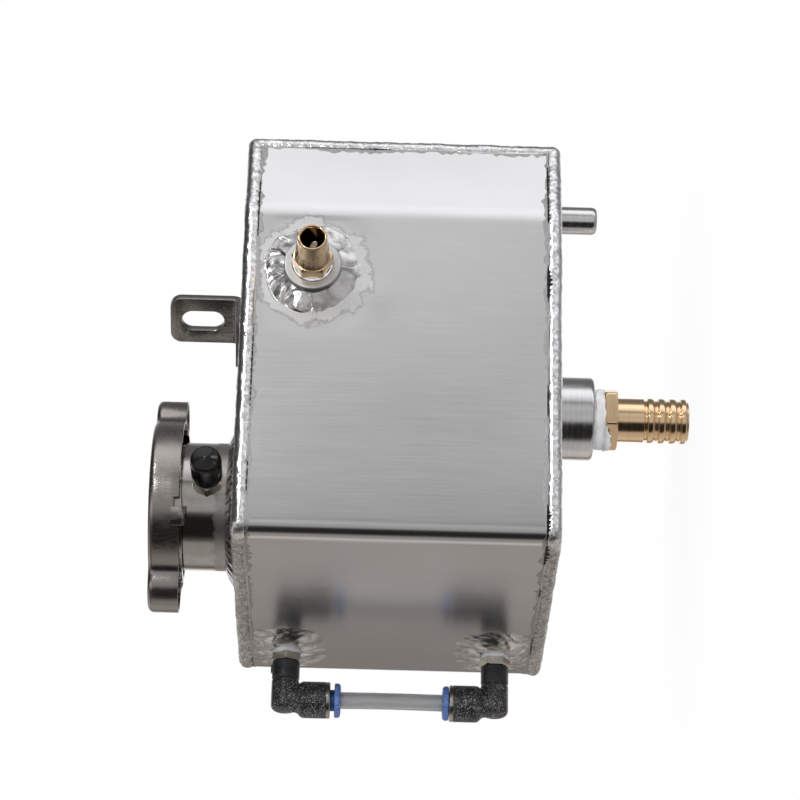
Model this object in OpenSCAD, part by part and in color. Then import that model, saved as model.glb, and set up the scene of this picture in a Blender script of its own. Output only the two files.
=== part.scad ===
// Coolant expansion tank: a welded sheet aluminium box with a filler neck and
// pressure cap on top, a brass hose barb and a locating pin below, a brass vent
// nipple on the broad face, a slotted bracket and a clear sight tube in front.
// Millimetres. +Z is up, the sight tube faces -Y and the broad face +X. The
// origin is on the locating pin's axis, at the crest of the pin's weld.

/* [Tank box] */
// Height between the outer faces of the two end plates
tank_height = 110; // [96:1:150]
// Depth from the broad face to the plain back
tank_depth = 131; // [112:1:160]
// Length of the broad face, from the sight face to the soft fold
broad_length = 123; // [112:1:150]
// Run of the sloped facet past the soft fold
facet_run = 33; // [24:1:45]
// Distance by which the facet falls back from the broad face
facet_drop = 9.3; // [5:0.1:13]
// Thickness of the sheet and the end plates
sheet = 2.5; // [2:0.1:3]
// Outer radius of the sharp folds
fold_r = 5; // [5:0.5:9]
// Outer radius of the soft fold
soft_fold_r = 20; // [8:1:40]
// Height by which the seam weld beads stand out of the faces
bead_bulge = 0.8; // [0.4:0.1:1]

/* [Locating pin] */
// Distance from the broad face back to the locating pin
pin_from_broad = 40; // [30:1:50]
// Distance from the rear face to the locating pin
pin_from_rear = 13; // [13:1:24]
// Diameter of the locating pin
pin_d = 10; // [8:0.5:12]
// Length of the pin below its weld
pin_length = 14; // [10:0.5:20]
// Rounding of the pin's tip
pin_tip_r = 1.5; // [0.5:0.1:2]
// Width of the pin's weld on the plate
pin_weld_w = 2.8; // [1.5:0.1:3]
// Height of the pin's weld, which is also the seat of a bush on the pin
pin_weld_h = 1.5; // [1:0.1:2]

/* [Filler neck] */
// Distance from the sight face to the neck's axis
neck_from_front = 37; // [36:1:45]
// Outer diameter of the neck
neck_d = 45.5; // [44:0.5:48]
// Wall of the neck
neck_wall = 2.5; // [2:0.1:3]
// Height of the neck above the top plate
neck_height = 26; // [25:0.5:32]
// Height of the inner seat above the top plate
seat_height = 7; // [6:0.1:7.2]
// Width of the inner seat
seat_w = 4.8; // [4:0.1:6]
// Thickness of the inner seat
seat_t = 2; // [1.5:0.1:3]
// Outer diameter of the cam flange
flange_d = 54.6; // [54:0.1:55.5]
// Thickness of the cam flange
flange_t = 2.5; // [2:0.1:3]
// Depth of the cam skirt below the flange
cam_depth = 4.2; // [3.5:0.1:4.5]
// Thickness of the cam skirt
cam_w = 2; // [1.5:0.1:2.5]
// Height by which the cap rises in its quarter turn
cam_rise = 1.6; // [1:0.1:2]
// Width of the neck's weld on the plate
neck_weld_w = 7; // [4:0.5:8]
// Height of the neck's weld on the neck
neck_weld_h = 4.5; // [3:0.5:5]

/* [Pressure cap] */
// Gap between the cam flange and the inside of the cap's skirt
cap_gap = 1.9; // [1.7:0.1:3]
// Span over the two ears
cap_span = 80; // [74:1:90]
// Width of an ear
ear_w = 20; // [16:1:24]
// Height of the skirt
skirt_h = 9.7; // [8:0.1:10]
// Height of the crown above the neck's lip
crown_above = 5; // [4.8:0.1:6]
// Rounding of the crown's edge
crown_r = 2.2; // [1.5:0.1:3]
// Thickness of the cap's sheet
cap_sheet = 1; // [0.8:0.1:1.2]
// Diameter of the dish in the crown
dish_d = 26; // [20:1:32]
// Direction of the first lug, from +X
lug_angle = -30; // [-40:1:-20]
// Width of a lug along the skirt
lug_w = 6.4; // [5:0.1:8]
// Height of the relief cut beside each lug
relief_h = 1.8; // [1:0.1:3]
// Radial reach of a lug under the cam
lug_under = 1.7; // [1.2:0.1:1.9]
// Gap between a lug and the cam
lug_gap = 0.25; // [0.2:0.05:0.4]
// Thickness of the spring disc
disc_t = 0.8; // [0.6:0.1:1]
// Diameter of the spring disc
disc_d = 50; // [46:1:54]
// Thickness of the gasket on the lip
lip_gasket_t = 1.4; // [1:0.1:1.6]
// Outer diameter of the spring cage
cage_d = 34; // [34:0.1:35]
// Thickness of the cage, the pressure plate and their flanges
press_t = 0.8; // [0.7:0.1:1]
// Gap between the pressure plate's flange and the cage's rim
plate_gap = 1.2; // [0.8:0.1:1.5]
// Lift of the pressure plate when it blows off
plate_lift = 3; // [2:0.1:3.5]
// Thickness of the pressure plate's gasket
seat_gasket_t = 1.8; // [1.4:0.1:2]
// Diameter of the pressure plate's gasket
seat_gasket_d = 36; // [34:0.5:37]
// Wire of the main spring
spring_wire = 1.8; // [1.4:0.1:2]
// Turns of the main spring
spring_turns = 3; // [2.5:0.5:4]
// Diameter of the vacuum valve's disc
valve_d = 21; // [19.5:0.5:26]
// Thickness of the vacuum valve's disc and clip
valve_t = 1; // [0.8:0.1:1.2]
// Travel of the vacuum valve
valve_travel = 1.5; // [1:0.1:1.8]

/* [Overflow outlet] */
// Height of the overflow fitting's axis above the top plate
port_height = 11; // [10.5:0.1:12]
// Hexagon of the fitting, across flats
port_hex = 10; // [8:0.5:11]
// Length of the hexagon
port_hex_l = 4.8; // [4:0.1:6]
// Outer diameter of the fitting's stem
port_stem_d = 6; // [5:0.1:7]
// Bore of the fitting
port_bore_d = 3.2; // [2.5:0.1:4]
// Outer diameter of the blanking cap
blank_d = 11; // [9:0.1:12]
// Length of the blanking cap
blank_l = 16.5; // [12:0.5:18]
// End wall of the blanking cap
blank_end = 1.6; // [1:0.1:2.5]

/* [Vent nipple] */
// Distance from the sight face to the vent
vent_from_front = 99; // [70:1:102]
// Distance from the top plate down to the vent
vent_below_top = 24; // [24:1:50]
// Diameter of the vent bung
vent_bung_d = 20; // [18:0.5:24]
// Height of the bung above the broad face
vent_bung_h = 5; // [3:0.5:8]
// Depth of the bung inside the sheet
vent_bung_in = 3; // [2:0.5:6]
// Width of the vent's weld on the face
vent_weld_w = 8.3; // [5:0.1:8.5]
// Height of the vent's weld on the bung
vent_weld_h = 2.8; // [1.5:0.1:3]
// Diameter of the nipple's threaded shank
vent_thread_d = 13; // [11:0.1:13.5]
// Hexagon of the nipple, across flats
vent_hex = 12.7; // [12:0.1:17]
// Length of the nipple's hexagon
vent_hex_l = 5; // [4:0.5:8]
// Length of the nipple's cone
vent_cone_l = 13; // [10:0.5:20]
// Diameter of the cone at its rim
vent_rim_d = 10; // [9.5:0.1:11]
// Bore of the nipple
vent_bore_d = 8; // [6:0.1:8.4]

/* [Outlet] */
// Distance from the sight face to the outlet
outlet_from_front = 75.5; // [60:0.5:90]
// Diameter of the outlet bung
outlet_bung_d = 30; // [28:0.5:34]
// Length of the outlet bung below the plate
outlet_bung_h = 15.6; // [12:0.1:20]
// Width of the outlet's weld on the plate
outlet_weld_w = 4.5; // [2:0.1:6]
// Height of the outlet's weld on the bung
outlet_weld_h = 3.6; // [2:0.1:5]
// Diameter of the barb's threaded shank
outlet_thread_d = 20.6; // [19.6:0.1:21.2]
// Length of the threaded shank inside the bung
outlet_thread_l = 10; // [8:0.5:12]
// Hexagon of the barb, across flats
outlet_hex = 21; // [21:0.1:24]
// Thickness of the barb's hexagon
outlet_hex_t = 4.5; // [3:0.1:7]
// Diameter of the barb's plain shank
barb_shank_d = 15.8; // [15:0.1:15.8]
// Length of the barb's plain shank
barb_shank_l = 9.9; // [8:0.1:14]
// Diameter over the barb's ridges
barb_ridge_d = 16.2; // [16:0.1:17]
// Diameter between the barb's ridges
barb_root_d = 14.4; // [14.2:0.1:15]
// Pitch of the ridges
barb_pitch = 4; // [3:0.1:5]
// Number of ridges
barb_count = 4; // [2:1:6]
// Bore of the barb
barb_bore_d = 12.6; // [10:0.1:13]

/* [Thread tape] */
// Thickness of the tape rolled round the outlet thread
tape_t = 0.75; // [0.3:0.05:1]
// Width of the tape left showing at the outlet
outlet_tape_w = 4; // [2:0.1:6]
// Width of the tape left showing at the vent
vent_tape_w = 1; // [0.6:0.1:2]
// Width of the tape left showing at each sight fitting
stud_tape_w = 1.9; // [1:0.1:3]
// Running gap in the simplified threads
thread_gap = 0.1; // [0.05:0.01:0.2]

/* [Bracket] */
// Distance from the broad face to the bracket's centre
bracket_from_broad = 42; // [34:1:55]
// Distance from the sight face to the bracket's centre
bracket_from_front = 101; // [90:1:108]
// Direction in which the tab faces, from +X
bracket_angle = -60; // [-90:1:-45]
// Height of the tab above the top plate
tab_h = 27; // [22:1:34]
// Width of the tab
tab_w = 18.5; // [15:0.5:24]
// Thickness of the bracket
tab_t = 3; // [2:0.5:4]
// Corner radius of the tab
tab_corner_r = 4; // [2:0.5:6]
// Length of the foot in front of the tab
foot_l = 13; // [10:1:18]
// Inner radius of the bracket's bend
tab_bend_r = 2; // [1:0.5:3]
// Width of the slot
slot_w = 8; // [5:0.1:9]
// Overall height of the slot
slot_h = 15.2; // [12:0.1:16]
// Height of the slot's centre above the top plate
slot_z = 15.4; // [14:0.1:17]
// Leg of the bracket's weld
bracket_weld_leg = 2; // [1:0.1:3]

/* [Sight tube] */
// Distance from the plain back to the sight tube
sight_from_back = 25; // [23:1:45]
// Distance from the outer face of each end plate to its sight fitting
sight_from_end = 17.3; // [15.5:0.1:26]
// Distance from the sight face to the tube's axis
sight_reach = 20; // [18:0.5:28]
// Diameter of a sight bung
sight_bung_d = 18; // [14:0.5:20]
// Depth of a sight bung inside the sheet
sight_bung_in = 6; // [4:0.5:10]
// Radius of a lobe of the weld pool round a sight bung
pool_r = 16; // [12:0.5:17]
// Offset of the two lobes from the bung's axis
pool_shift = 4.5; // [0:0.5:6]
// Height of the weld pool
pool_h = 1.2; // [0.6:0.1:1.6]
// Clearance between the pool and the end bead
weld_clearance = 0.3; // [0.2:0.1:1]
// Thread of a fitting's stud
stud_thread_d = 9.6; // [8:0.1:10]
// Hexagon of a stud, across flats
stud_hex = 10; // [10:0.1:12]
// Height of the hexagon
stud_hex_h = 2.9; // [2:0.1:4]
// Bore of a stud
stud_bore_d = 4; // [3:0.1:5]
// Radius of the elbow's upright barrel
barrel_r = 5; // [4.8:0.1:6]
// Radius of the elbow's socket
socket_r = 6.6; // [6.2:0.1:8]
// Length of the elbow's socket from the stud's axis
socket_l = 15; // [14:0.1:18]
// Thickness of the metal guide ring's rim
guide_rim = 1.3; // [1:0.1:2]
// Diameter of the tube
tube_d = 6; // [5:0.1:6]
// Bore of the tube
tube_bore_d = 4; // [3:0.1:4.5]
// Wall of a release collar
collar_wall = 0.7; // [0.5:0.1:0.8]
// Outer diameter of a collar's flange
collar_d = 12.4; // [11:0.1:13]
// Thickness of a collar's flange
collar_flange_t = 2.4; // [2:0.1:3]
// Travel of a collar
collar_travel = 1.3; // [1:0.1:1.5]
// Gap round the tube and the collars
collar_gap = 0.15; // [0.1:0.05:0.2]

/* [Hidden] */
$fn = 72;

over = 1;
plate_z = pin_weld_h;
top_z = plate_z + tank_height;
mid_z = plate_z + tank_height / 2;
broad_x = pin_from_broad;
back_x = broad_x - tank_depth;
mid_x = broad_x - tank_depth / 2;
rear_y = pin_from_rear;
fold_y = rear_y - facet_run;
front_y = fold_y - broad_length;

// The box's plan, anticlockwise from the fold between the sight face and the
// broad face. The third corner is the open seam, which has no fold.
corners = [
    [broad_x, front_y], [broad_x, fold_y], [broad_x - facet_drop, rear_y],
    [back_x, rear_y], [back_x, front_y]
];
fold_radii = [fold_r, soft_fold_r, sheet, fold_r, fold_r];
sharp_folds = [0, 3, 4];
soft_fold = 1;
seam = 2;
sides = [0:len(corners) - 1];
soft_fold_steps = 8;
// Root gap between the seam's weld axis and each end of the wrapped sheet
seam_gap = 0.4;

function side_angle(i) = let (a = corners[i], b = corners[(i + 1) % 5]) atan2(b.y - a.y, b.x - a.x);
function side_length(i) = norm(corners[(i + 1) % 5] - corners[i]);
function angle_before(i) = side_angle((i + 4) % 5);
function turn(i) = (side_angle(i) - angle_before(i) + 720) % 360;
function setback(i) = fold_radii[i] * tan(turn(i) / 2);
function along(a) = [cos(a), sin(a)];
function fold_centre(i) =
    corners[i] - along(angle_before(i)) * setback(i) + along(angle_before(i) + 90) * fold_radii[i];
// Points round the soft fold, at a distance inside the outer face
function soft_fold_points(inset) = [
    for (k = [0:soft_fold_steps])
        let (a = angle_before(soft_fold) - 90 + turn(soft_fold) * k / soft_fold_steps)
            fold_centre(soft_fold) + along(a) * (soft_fold_r - inset)
];

bead_r = sheet + bead_bulge;
bead_half = sqrt(bead_r * bead_r - sheet * sheet);
bead_reach = sheet + bead_half;
seam_bead_r = bead_r + 0.25;
knob_r = seam_bead_r + 0.25;

neck_r = neck_d / 2;
neck_y = front_y + neck_from_front;
neck_top_z = top_z + neck_height;
seat_top_z = top_z + seat_height;
cam_r = (flange_d - cam_w) / 2;
cam_low_z = neck_top_z - flange_t - cam_depth;
// Height of the port's axis, and where the fitting ends
port_z = top_z + port_height;
port_hex_x = neck_r + port_hex_l;

cap_d = flange_d + 2 * (cap_gap + cap_sheet);
lug_reach = cap_gap + lug_under;
crown_z = neck_top_z + crown_above;
rim_z = crown_z - skirt_h;
disc_z = neck_top_z + lip_gasket_t;
dish_z = disc_z + disc_t;
lug_top_z = cam_low_z - lug_gap;
cage_top_z = disc_z - press_t;
plate_foot_z = seat_top_z + seat_gasket_t;
lift_margin = 0.9;
cage_rim_z = plate_foot_z + press_t + plate_lift + lift_margin;
plate_top_z = cage_rim_z + press_t + plate_gap + press_t;
cage_r = cage_d / 2;
plate_slack = 0.3;
spring_r = cage_r - press_t - plate_slack - spring_wire / 2 - 0.7;
rivet_r = 2;
rivet_head_r = 4;
rivet_head_h = 1.2;
valve_stem_r = 1.5;
valve_clip_r = 3;
valve_spring_solid = 1.8;
valve_spring_l = valve_travel + valve_spring_solid;
seat_hole_r = neck_r - neck_wall - seat_w;

vent_y = front_y + vent_from_front;
vent_z = top_z - vent_below_top;
vent_hex_x = broad_x + vent_bung_h + vent_tape_w;
vent_tape_t = 0.9;

outlet_y = front_y + outlet_from_front;
outlet_bung_z = plate_z - outlet_bung_h;
outlet_hex_z = outlet_bung_z - outlet_tape_w;
barb_shank_z = outlet_hex_z - outlet_hex_t;
barb_z = barb_shank_z - barb_shank_l;
barb_tip_z = barb_z - barb_pitch * barb_count;

bracket_x = broad_x - bracket_from_broad;
bracket_y = front_y + bracket_from_front;

sight_x = back_x + sight_from_back;
sight_spacing = tank_height - 2 * sight_from_end;
stud_tape_t = 0.45;
stud_hex_z = pool_h + stud_tape_w;
barrel_z = stud_hex_z + stud_hex_h;
barrel_end = 4.3;
barrel_round = 2.4;
socket_start = 4.2;
tube_stop = 4.6;
chamber_r = 4.9;
chamber_start = 7;
o_ring_w = 1.9;
grab_start = 9.6;
guide_start = 11.8;
guide_end = socket_l + guide_rim;
collar_r = tube_d / 2 + collar_gap + collar_wall;
collar_start = 12;

// Plan shape of the box at a distance inside its outer faces: a polygon with a
// notch at each sharp fold, filled by a sector of the fold's own inner radius.
module plan_solid(inset, height) {
    linear_extrude(height)
        polygon([
            for (i = sides)
                let (c = fold_centre(i), r = fold_radii[i] - inset)
                    each (
                        i == soft_fold ? soft_fold_points(inset)
                        : i == seam ? [c]
                        : [c + along(angle_before(i) - 90) * r, c, c + along(side_angle(i) - 90) * r]
                    )
        ]);
    for (i = sharp_folds)
        translate(fold_centre(i))
            rotate(angle_before(i) - 90)
                rotate_extrude(angle = turn(i))
                    square([fold_radii[i] - inset, height]);
}

// Sweeps a section along one flat side. The section's x = 0 is the outer face
// and its y is the height. The run starts late or ends early where told.
module along_side(i, late = 0, early = 0) {
    end_gap = setback((i + 1) % 5) + early;
    span = side_length(i) - setback(i) - late - end_gap;
    end = corners[(i + 1) % 5] - along(side_angle(i)) * end_gap;
    translate(end)
        rotate(side_angle(i) - 90)
            rotate([90, 0, 0])
                linear_extrude(span)
                    children();
}

// Sweeps a section round one corner. The section's x = 0 is the outer face.
module round_corner(i) {
    translate(fold_centre(i))
        rotate(angle_before(i) - 90)
            rotate_extrude(angle = turn(i))
                intersection() {
                    translate([fold_radii[i], 0])
                        children();
                    translate([0, -over])
                        square([fold_radii[i] + bead_r, top_z + 2 * over]);
                }
}

module sheet_section() {
    translate([-sheet, plate_z + sheet])
        square([sheet, tank_height - 2 * sheet]);
}

// The sheet from the first fold over the soft fold to the seam
module broad_sheet() {
    start = corners[0] + along(side_angle(0)) * setback(0);
    facet_angle = side_angle(soft_fold);
    end = corners[seam] - along(facet_angle) * (setback(seam) + seam_gap);
    inner = soft_fold_points(sheet);
    translate([0, 0, plate_z + sheet])
        linear_extrude(tank_height - 2 * sheet)
            polygon([
                start, each soft_fold_points(0), end,
                end + along(facet_angle + 90) * sheet,
                for (k = [soft_fold_steps:-1:0]) inner[k],
                start - [sheet, 0]
            ]);
}

// Section of an end bead: a round of weld on the corner where the sheet's edge
// meets the plate's edge, less the sheet and the plate themselves.
module bead_section() {
    difference() {
        translate([-sheet, top_z - sheet])
            circle(bead_r);
        translate([-sheet - 2 * bead_r, top_z - sheet - 2 * bead_r])
            square([2 * bead_r + sheet, 2 * bead_r]);
        translate([-sheet - 2 * bead_r, top_z - sheet - 2 * bead_r])
            square([2 * bead_r, 2 * bead_r + sheet]);
    }
}

// A run of weld along every side and round every fold, with a low knob of weld
// on the head of the seam's own bead
module end_bead() {
    c = fold_centre(seam);
    difference() {
        union() {
            for (i = sides)
                along_side(i, i == seam ? knob_r / 2 : 0, i + 1 == seam ? knob_r / 2 : 0)
                    bead_section();
            for (i = [each sharp_folds, soft_fold])
                round_corner(i)
                    bead_section();
            difference() {
                translate([c.x, c.y, top_z - sheet])
                    rotate_extrude()
                        polygon([
                            [0, 0], [knob_r, 0], [knob_r, 0.55 * knob_r], [0.75 * knob_r, 0.85 * knob_r],
                            [0.4 * knob_r, 0.97 * knob_r], [0, 0.97 * knob_r]
                        ]);
                translate([0, 0, top_z - sheet])
                    plan_solid(sheet, sheet);
            }
        }
        translate([c.x, c.y, mid_z])
            cylinder(r = seam_bead_r, h = tank_height / 2 - sheet);
    }
}

// A weld fillet round a boss, with a slightly full face, on the plane z = 0
module weld_ring(r, w, h) {
    rotate_extrude()
        polygon([[r, 0], [r + w, 0], [r + 0.86 * w, 0.3 * h], [r + 0.4 * w, 0.72 * h], [r, h]]);
}

module ring(outer_r, inner_r, h) {
    difference() {
        cylinder(r = outer_r, h = h);
        translate([0, 0, -over])
            cylinder(r = inner_r, h = h + 2 * over);
    }
}

// A hexagon of the given size across flats, with its upper corners turned off
module nut_hex(flats, h, chamfer = 0.8) {
    corner_r = flats / sqrt(3);
    intersection() {
        cylinder(r = corner_r, h = h, $fn = 6);
        union() {
            cylinder(r = corner_r + over, h = h - chamfer);
            translate([0, 0, h - chamfer])
                cylinder(r1 = corner_r + 0.1, r2 = flats / 2 - 0.1, h = chamfer);
        }
    }
}

// A round wire wound on a straight helix between two heights
module coil(mean_r, wire_r, z0, z1, turns) {
    steps = round(turns * 24);
    around = 8;
    rise = z1 - z0 - 2 * wire_r;
    points = [
        for (s = [0:steps], k = [0:around - 1])
            let (a = 360 * turns * s / steps, b = 360 * k / around, r = mean_r + wire_r * cos(b))
                [r * cos(a), r * sin(a), z0 + wire_r + rise * s / steps + wire_r * sin(b)]
    ];
    walls = [
        for (s = [0:steps - 1], k = [0:around - 1])
            let (n = (k + 1) % around)
                each [
                    [s * around + k, (s + 1) * around + k, s * around + n],
                    [(s + 1) * around + k, (s + 1) * around + n, s * around + n]
                ]
    ];
    ends = [[for (k = [0:around - 1]) k], [for (k = [around - 1:-1:0]) steps * around + k]];
    polyhedron(points, concat(walls, ends), convexity = 4);
}

module at_neck(z = 0) {
    translate([mid_x, neck_y, z])
        children();
}

module at_vent() {
    translate([0, vent_y, vent_z])
        rotate([0, 90, 0])
            children();
}

module at_outlet(z = 0) {
    translate([mid_x, outlet_y, z])
        children();
}

module at_bracket() {
    translate([bracket_x, bracket_y, top_z])
        rotate(bracket_angle)
            children();
}

// Places a sight fitting: its z leaves the sight face and its x points along
// the tube, down from the upper fitting (side 1) and up from the lower (-1).
module at_sight(side) {
    translate([sight_x, front_y, mid_z + side * sight_spacing / 2])
        rotate([90, 0, 0])
            rotate(-90 * side)
                children();
}

module wrap_sheet() {
    color("gainsboro")
        difference() {
            union() {
                broad_sheet();
                for (i = [seam:len(corners) - 1])
                    along_side(i, i == seam ? seam_gap : 0)
                        sheet_section();
                for (i = sharp_folds)
                    round_corner(i)
                        sheet_section();
            }
            at_vent()
                translate([0, 0, broad_x - sheet - over])
                    cylinder(d = vent_bung_d, h = sheet + 2 * over);
            for (side = [-1, 1])
                at_sight(side)
                    translate([0, 0, -sheet - over])
                        cylinder(d = sight_bung_d, h = sheet + 2 * over);
        }
}

module top_plate() {
    color("lightgray")
        difference() {
            translate([0, 0, top_z - sheet])
                plan_solid(sheet, sheet);
            at_neck(top_z - sheet - over)
                cylinder(r = neck_r, h = sheet + 2 * over);
        }
}

module bottom_plate() {
    color("lightgray")
        difference() {
            translate([0, 0, plate_z])
                plan_solid(sheet, sheet);
            at_outlet(plate_z - over)
                cylinder(d = outlet_bung_d, h = sheet + 2 * over);
            translate([0, 0, plate_z - over])
                cylinder(d = pin_d, h = sheet + 2 * over);
        }
}

module top_seam_weld() {
    color("whitesmoke")
        end_bead();
}

module bottom_seam_weld() {
    color("whitesmoke")
        translate([0, 0, 2 * mid_z])
            mirror([0, 0, 1])
                end_bead();
}

module side_seam_weld() {
    c = fold_centre(seam);
    before = angle_before(seam);
    after = side_angle(seam);
    color("whitesmoke")
        translate([c.x, c.y, plate_z + sheet])
            linear_extrude(tank_height - 2 * sheet)
                difference() {
                    circle(seam_bead_r);
                    rotate(before - 90)
                        translate([-2 * bead_r, -2 * bead_r - seam_gap])
                            square([2 * bead_r + sheet, 2 * bead_r]);
                    rotate(after - 90)
                        translate([-2 * bead_r, seam_gap])
                            square([2 * bead_r + sheet, 2 * bead_r]);
                }
}

module filler_neck() {
    notch_half = asin(lug_w / flange_d) + 5;
    inner_r = neck_r - neck_wall;
    color("silver")
        difference() {
            at_neck()
                difference() {
                    rotate_extrude()
                        polygon([
                            [inner_r, top_z - sheet], [neck_r, top_z - sheet],
                            [neck_r, neck_top_z - flange_t], [flange_d / 2 - cam_w, neck_top_z - flange_t],
                            [flange_d / 2 - cam_w, cam_low_z], [flange_d / 2, cam_low_z],
                            [flange_d / 2, neck_top_z - 0.6], [flange_d / 2 - 0.6, neck_top_z],
                            [inner_r, neck_top_z], [inner_r, seat_top_z],
                            [seat_hole_r, seat_top_z], [seat_hole_r, seat_top_z - seat_t],
                            [inner_r, seat_top_z - seat_t]
                        ]);
                    // The cam's two ramps, and the notches that let the lugs in
                    for (half = [0, 180])
                        rotate(lug_angle + half) {
                            intersection() {
                                translate([0, 0, cam_low_z])
                                    rotate([atan(1.06 * cam_rise / cam_r), 0, 0])
                                        translate([0, -flange_d, -cam_depth])
                                            cube([flange_d, 2 * flange_d, cam_depth]);
                                translate([0, 0, cam_low_z - over])
                                    ring(flange_d / 2 + over, neck_r + 0.2, cam_depth);
                            }
                            rotate(90 - notch_half)
                                rotate_extrude(angle = 2 * notch_half)
                                    translate([neck_r + 0.8, cam_low_z - over])
                                        square([flange_d, cam_depth + flange_t + 2 * over]);
                        }
                }
            at_port(0)
                cylinder(d = port_stem_d, h = neck_r + over);
        }
}

// Places a piece on the overflow fitting's axis, z outward from the neck's axis
module at_port(out) {
    translate([mid_x + out, neck_y, port_z])
        rotate([0, 90, 0])
            children();
}

module neck_weld() {
    color("whitesmoke")
        at_neck(top_z)
            weld_ring(neck_r, neck_weld_w, neck_weld_h);
}

module overflow_fitting() {
    color("tan")
        difference() {
            union() {
                at_port(neck_r - neck_wall)
                    cylinder(d = port_stem_d, h = neck_wall + over);
                difference() {
                    at_port(neck_r - 2)
                        rotate(30)
                            nut_hex(port_hex, port_hex_l + 2);
                    at_neck(port_z - port_hex)
                        cylinder(r = neck_r, h = 2 * port_hex);
                }
                at_port(port_hex_x - over)
                    cylinder(d = port_stem_d, h = blank_l - blank_end - 0.5 + over);
            }
            at_port(0)
                cylinder(d = port_bore_d, h = port_hex_x + blank_l);
        }
}

module overflow_cap() {
    color("black")
        at_port(port_hex_x)
            difference() {
                rotate_extrude()
                    polygon([
                        [0, 0], [blank_d / 2 - 0.2, 0], [blank_d / 2, 1],
                        [blank_d / 2, blank_l - 1.2], [blank_d / 2 - 0.4, blank_l - 0.4],
                        [blank_d / 2 - 1.2, blank_l], [0, blank_l]
                    ]);
                translate([0, 0, -over])
                    cylinder(d = port_stem_d + 0.1, h = blank_l - blank_end + over);
            }
}

module vent_bung() {
    length = vent_bung_in + sheet + vent_bung_h;
    color("silver")
        at_vent()
            translate([0, 0, broad_x - sheet - vent_bung_in])
                difference() {
                    rotate_extrude()
                        polygon([
                            [0, 0], [vent_bung_d / 2, 0], [vent_bung_d / 2, length - 0.8],
                            [vent_bung_d / 2 - 0.8, length], [0, length]
                        ]);
                    translate([0, 0, -over])
                        cylinder(d = vent_thread_d + 2 * thread_gap, h = length + 2 * over);
                }
}

module vent_weld() {
    color("whitesmoke")
        at_vent()
            translate([0, 0, broad_x])
                weld_ring(vent_bung_d / 2, vent_weld_w, vent_weld_h);
}

module vent_nipple() {
    color("darkgoldenrod")
        at_vent()
            difference() {
                union() {
                    translate([0, 0, broad_x - sheet])
                        cylinder(d = vent_thread_d, h = vent_hex_x - broad_x + sheet);
                    translate([0, 0, vent_hex_x])
                        nut_hex(vent_hex, vent_hex_l);
                    translate([0, 0, vent_hex_x + vent_hex_l])
                        cylinder(d1 = vent_hex - 0.3, d2 = vent_rim_d, h = vent_cone_l);
                }
                translate([0, 0, broad_x - sheet - over])
                    cylinder(d = vent_bore_d, h = tank_depth);
            }
}

module vent_tape() {
    color("white")
        at_vent()
            translate([0, 0, broad_x + vent_bung_h])
                ring(vent_thread_d / 2 + vent_tape_t, vent_thread_d / 2, vent_tape_w);
}

module outlet_bung() {
    edge = 1.2;
    color("silver")
        at_outlet(outlet_bung_z)
            difference() {
                rotate_extrude()
                    polygon([
                        [0, 0], [outlet_bung_d / 2 - edge, 0], [outlet_bung_d / 2 - 0.3 * edge, 0.3 * edge],
                        [outlet_bung_d / 2, edge], [outlet_bung_d / 2, outlet_bung_h + sheet],
                        [0, outlet_bung_h + sheet]
                    ]);
                translate([0, 0, -over])
                    cylinder(d = outlet_thread_d + 2 * thread_gap, h = outlet_thread_l + 2 * over);
                cylinder(d = barb_bore_d + 2, h = outlet_bung_h + sheet + over);
            }
}

module outlet_weld() {
    color("whitesmoke")
        at_outlet(plate_z)
            mirror([0, 0, 1])
                weld_ring(outlet_bung_d / 2, outlet_weld_w, outlet_weld_h);
}

// One sawtooth ridge after another: a short steep flank towards the hexagon and
// a long taper towards the tip
module outlet_barb() {
    shank_r = barb_shank_d / 2;
    ridge_r = barb_ridge_d / 2;
    root_r = barb_root_d / 2;
    color("goldenrod")
        at_outlet()
            difference() {
                union() {
                    translate([0, 0, outlet_hex_z])
                        cylinder(d = outlet_thread_d, h = outlet_tape_w + outlet_thread_l);
                    translate([0, 0, outlet_hex_z])
                        mirror([0, 0, 1])
                            rotate(30)
                                nut_hex(outlet_hex, outlet_hex_t);
                    translate([0, 0, barb_z])
                        cylinder(r = shank_r, h = barb_shank_l + over);
                    rotate_extrude()
                        polygon([
                            [0, barb_z],
                            for (n = [0:barb_count - 1])
                                let (z = barb_z - n * barb_pitch)
                                    each [
                                        [root_r, z], [root_r, z - 0.2 * barb_pitch],
                                        [ridge_r, z - 0.35 * barb_pitch], [ridge_r, z - 0.6 * barb_pitch]
                                    ],
                            [root_r, barb_tip_z], [0, barb_tip_z]
                        ]);
                }
                translate([0, 0, barb_tip_z - over])
                    cylinder(d = barb_bore_d, h = top_z);
            }
}

module outlet_tape() {
    color("white")
        at_outlet(outlet_hex_z)
            ring(outlet_thread_d / 2 + tape_t, outlet_thread_d / 2, outlet_tape_w);
}

module locating_pin() {
    r = pin_d / 2;
    color("silver") {
        rotate_extrude()
            polygon([
                [0, -pin_length + pin_tip_r], [r, -pin_length + pin_tip_r], [r, 0],
                [r - 0.6, plate_z], [r, plate_z], [r, plate_z + sheet], [0, plate_z + sheet]
            ]);
        rotate_extrude()
            intersection() {
                translate([r - pin_tip_r, -pin_length + pin_tip_r])
                    circle(pin_tip_r);
                translate([0, -pin_length])
                    square([r, pin_tip_r]);
            }
        translate([0, 0, -pin_length])
            cylinder(r = r - pin_tip_r, h = pin_tip_r);
    }
}

module pin_weld() {
    r = pin_d / 2;
    color("whitesmoke")
        rotate_extrude()
            polygon([
                [r - 0.6, plate_z], [r, 0], [r + 0.5 * pin_weld_w, 0.3 * pin_weld_h],
                [r + pin_weld_w, plate_z]
            ]);
}

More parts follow.
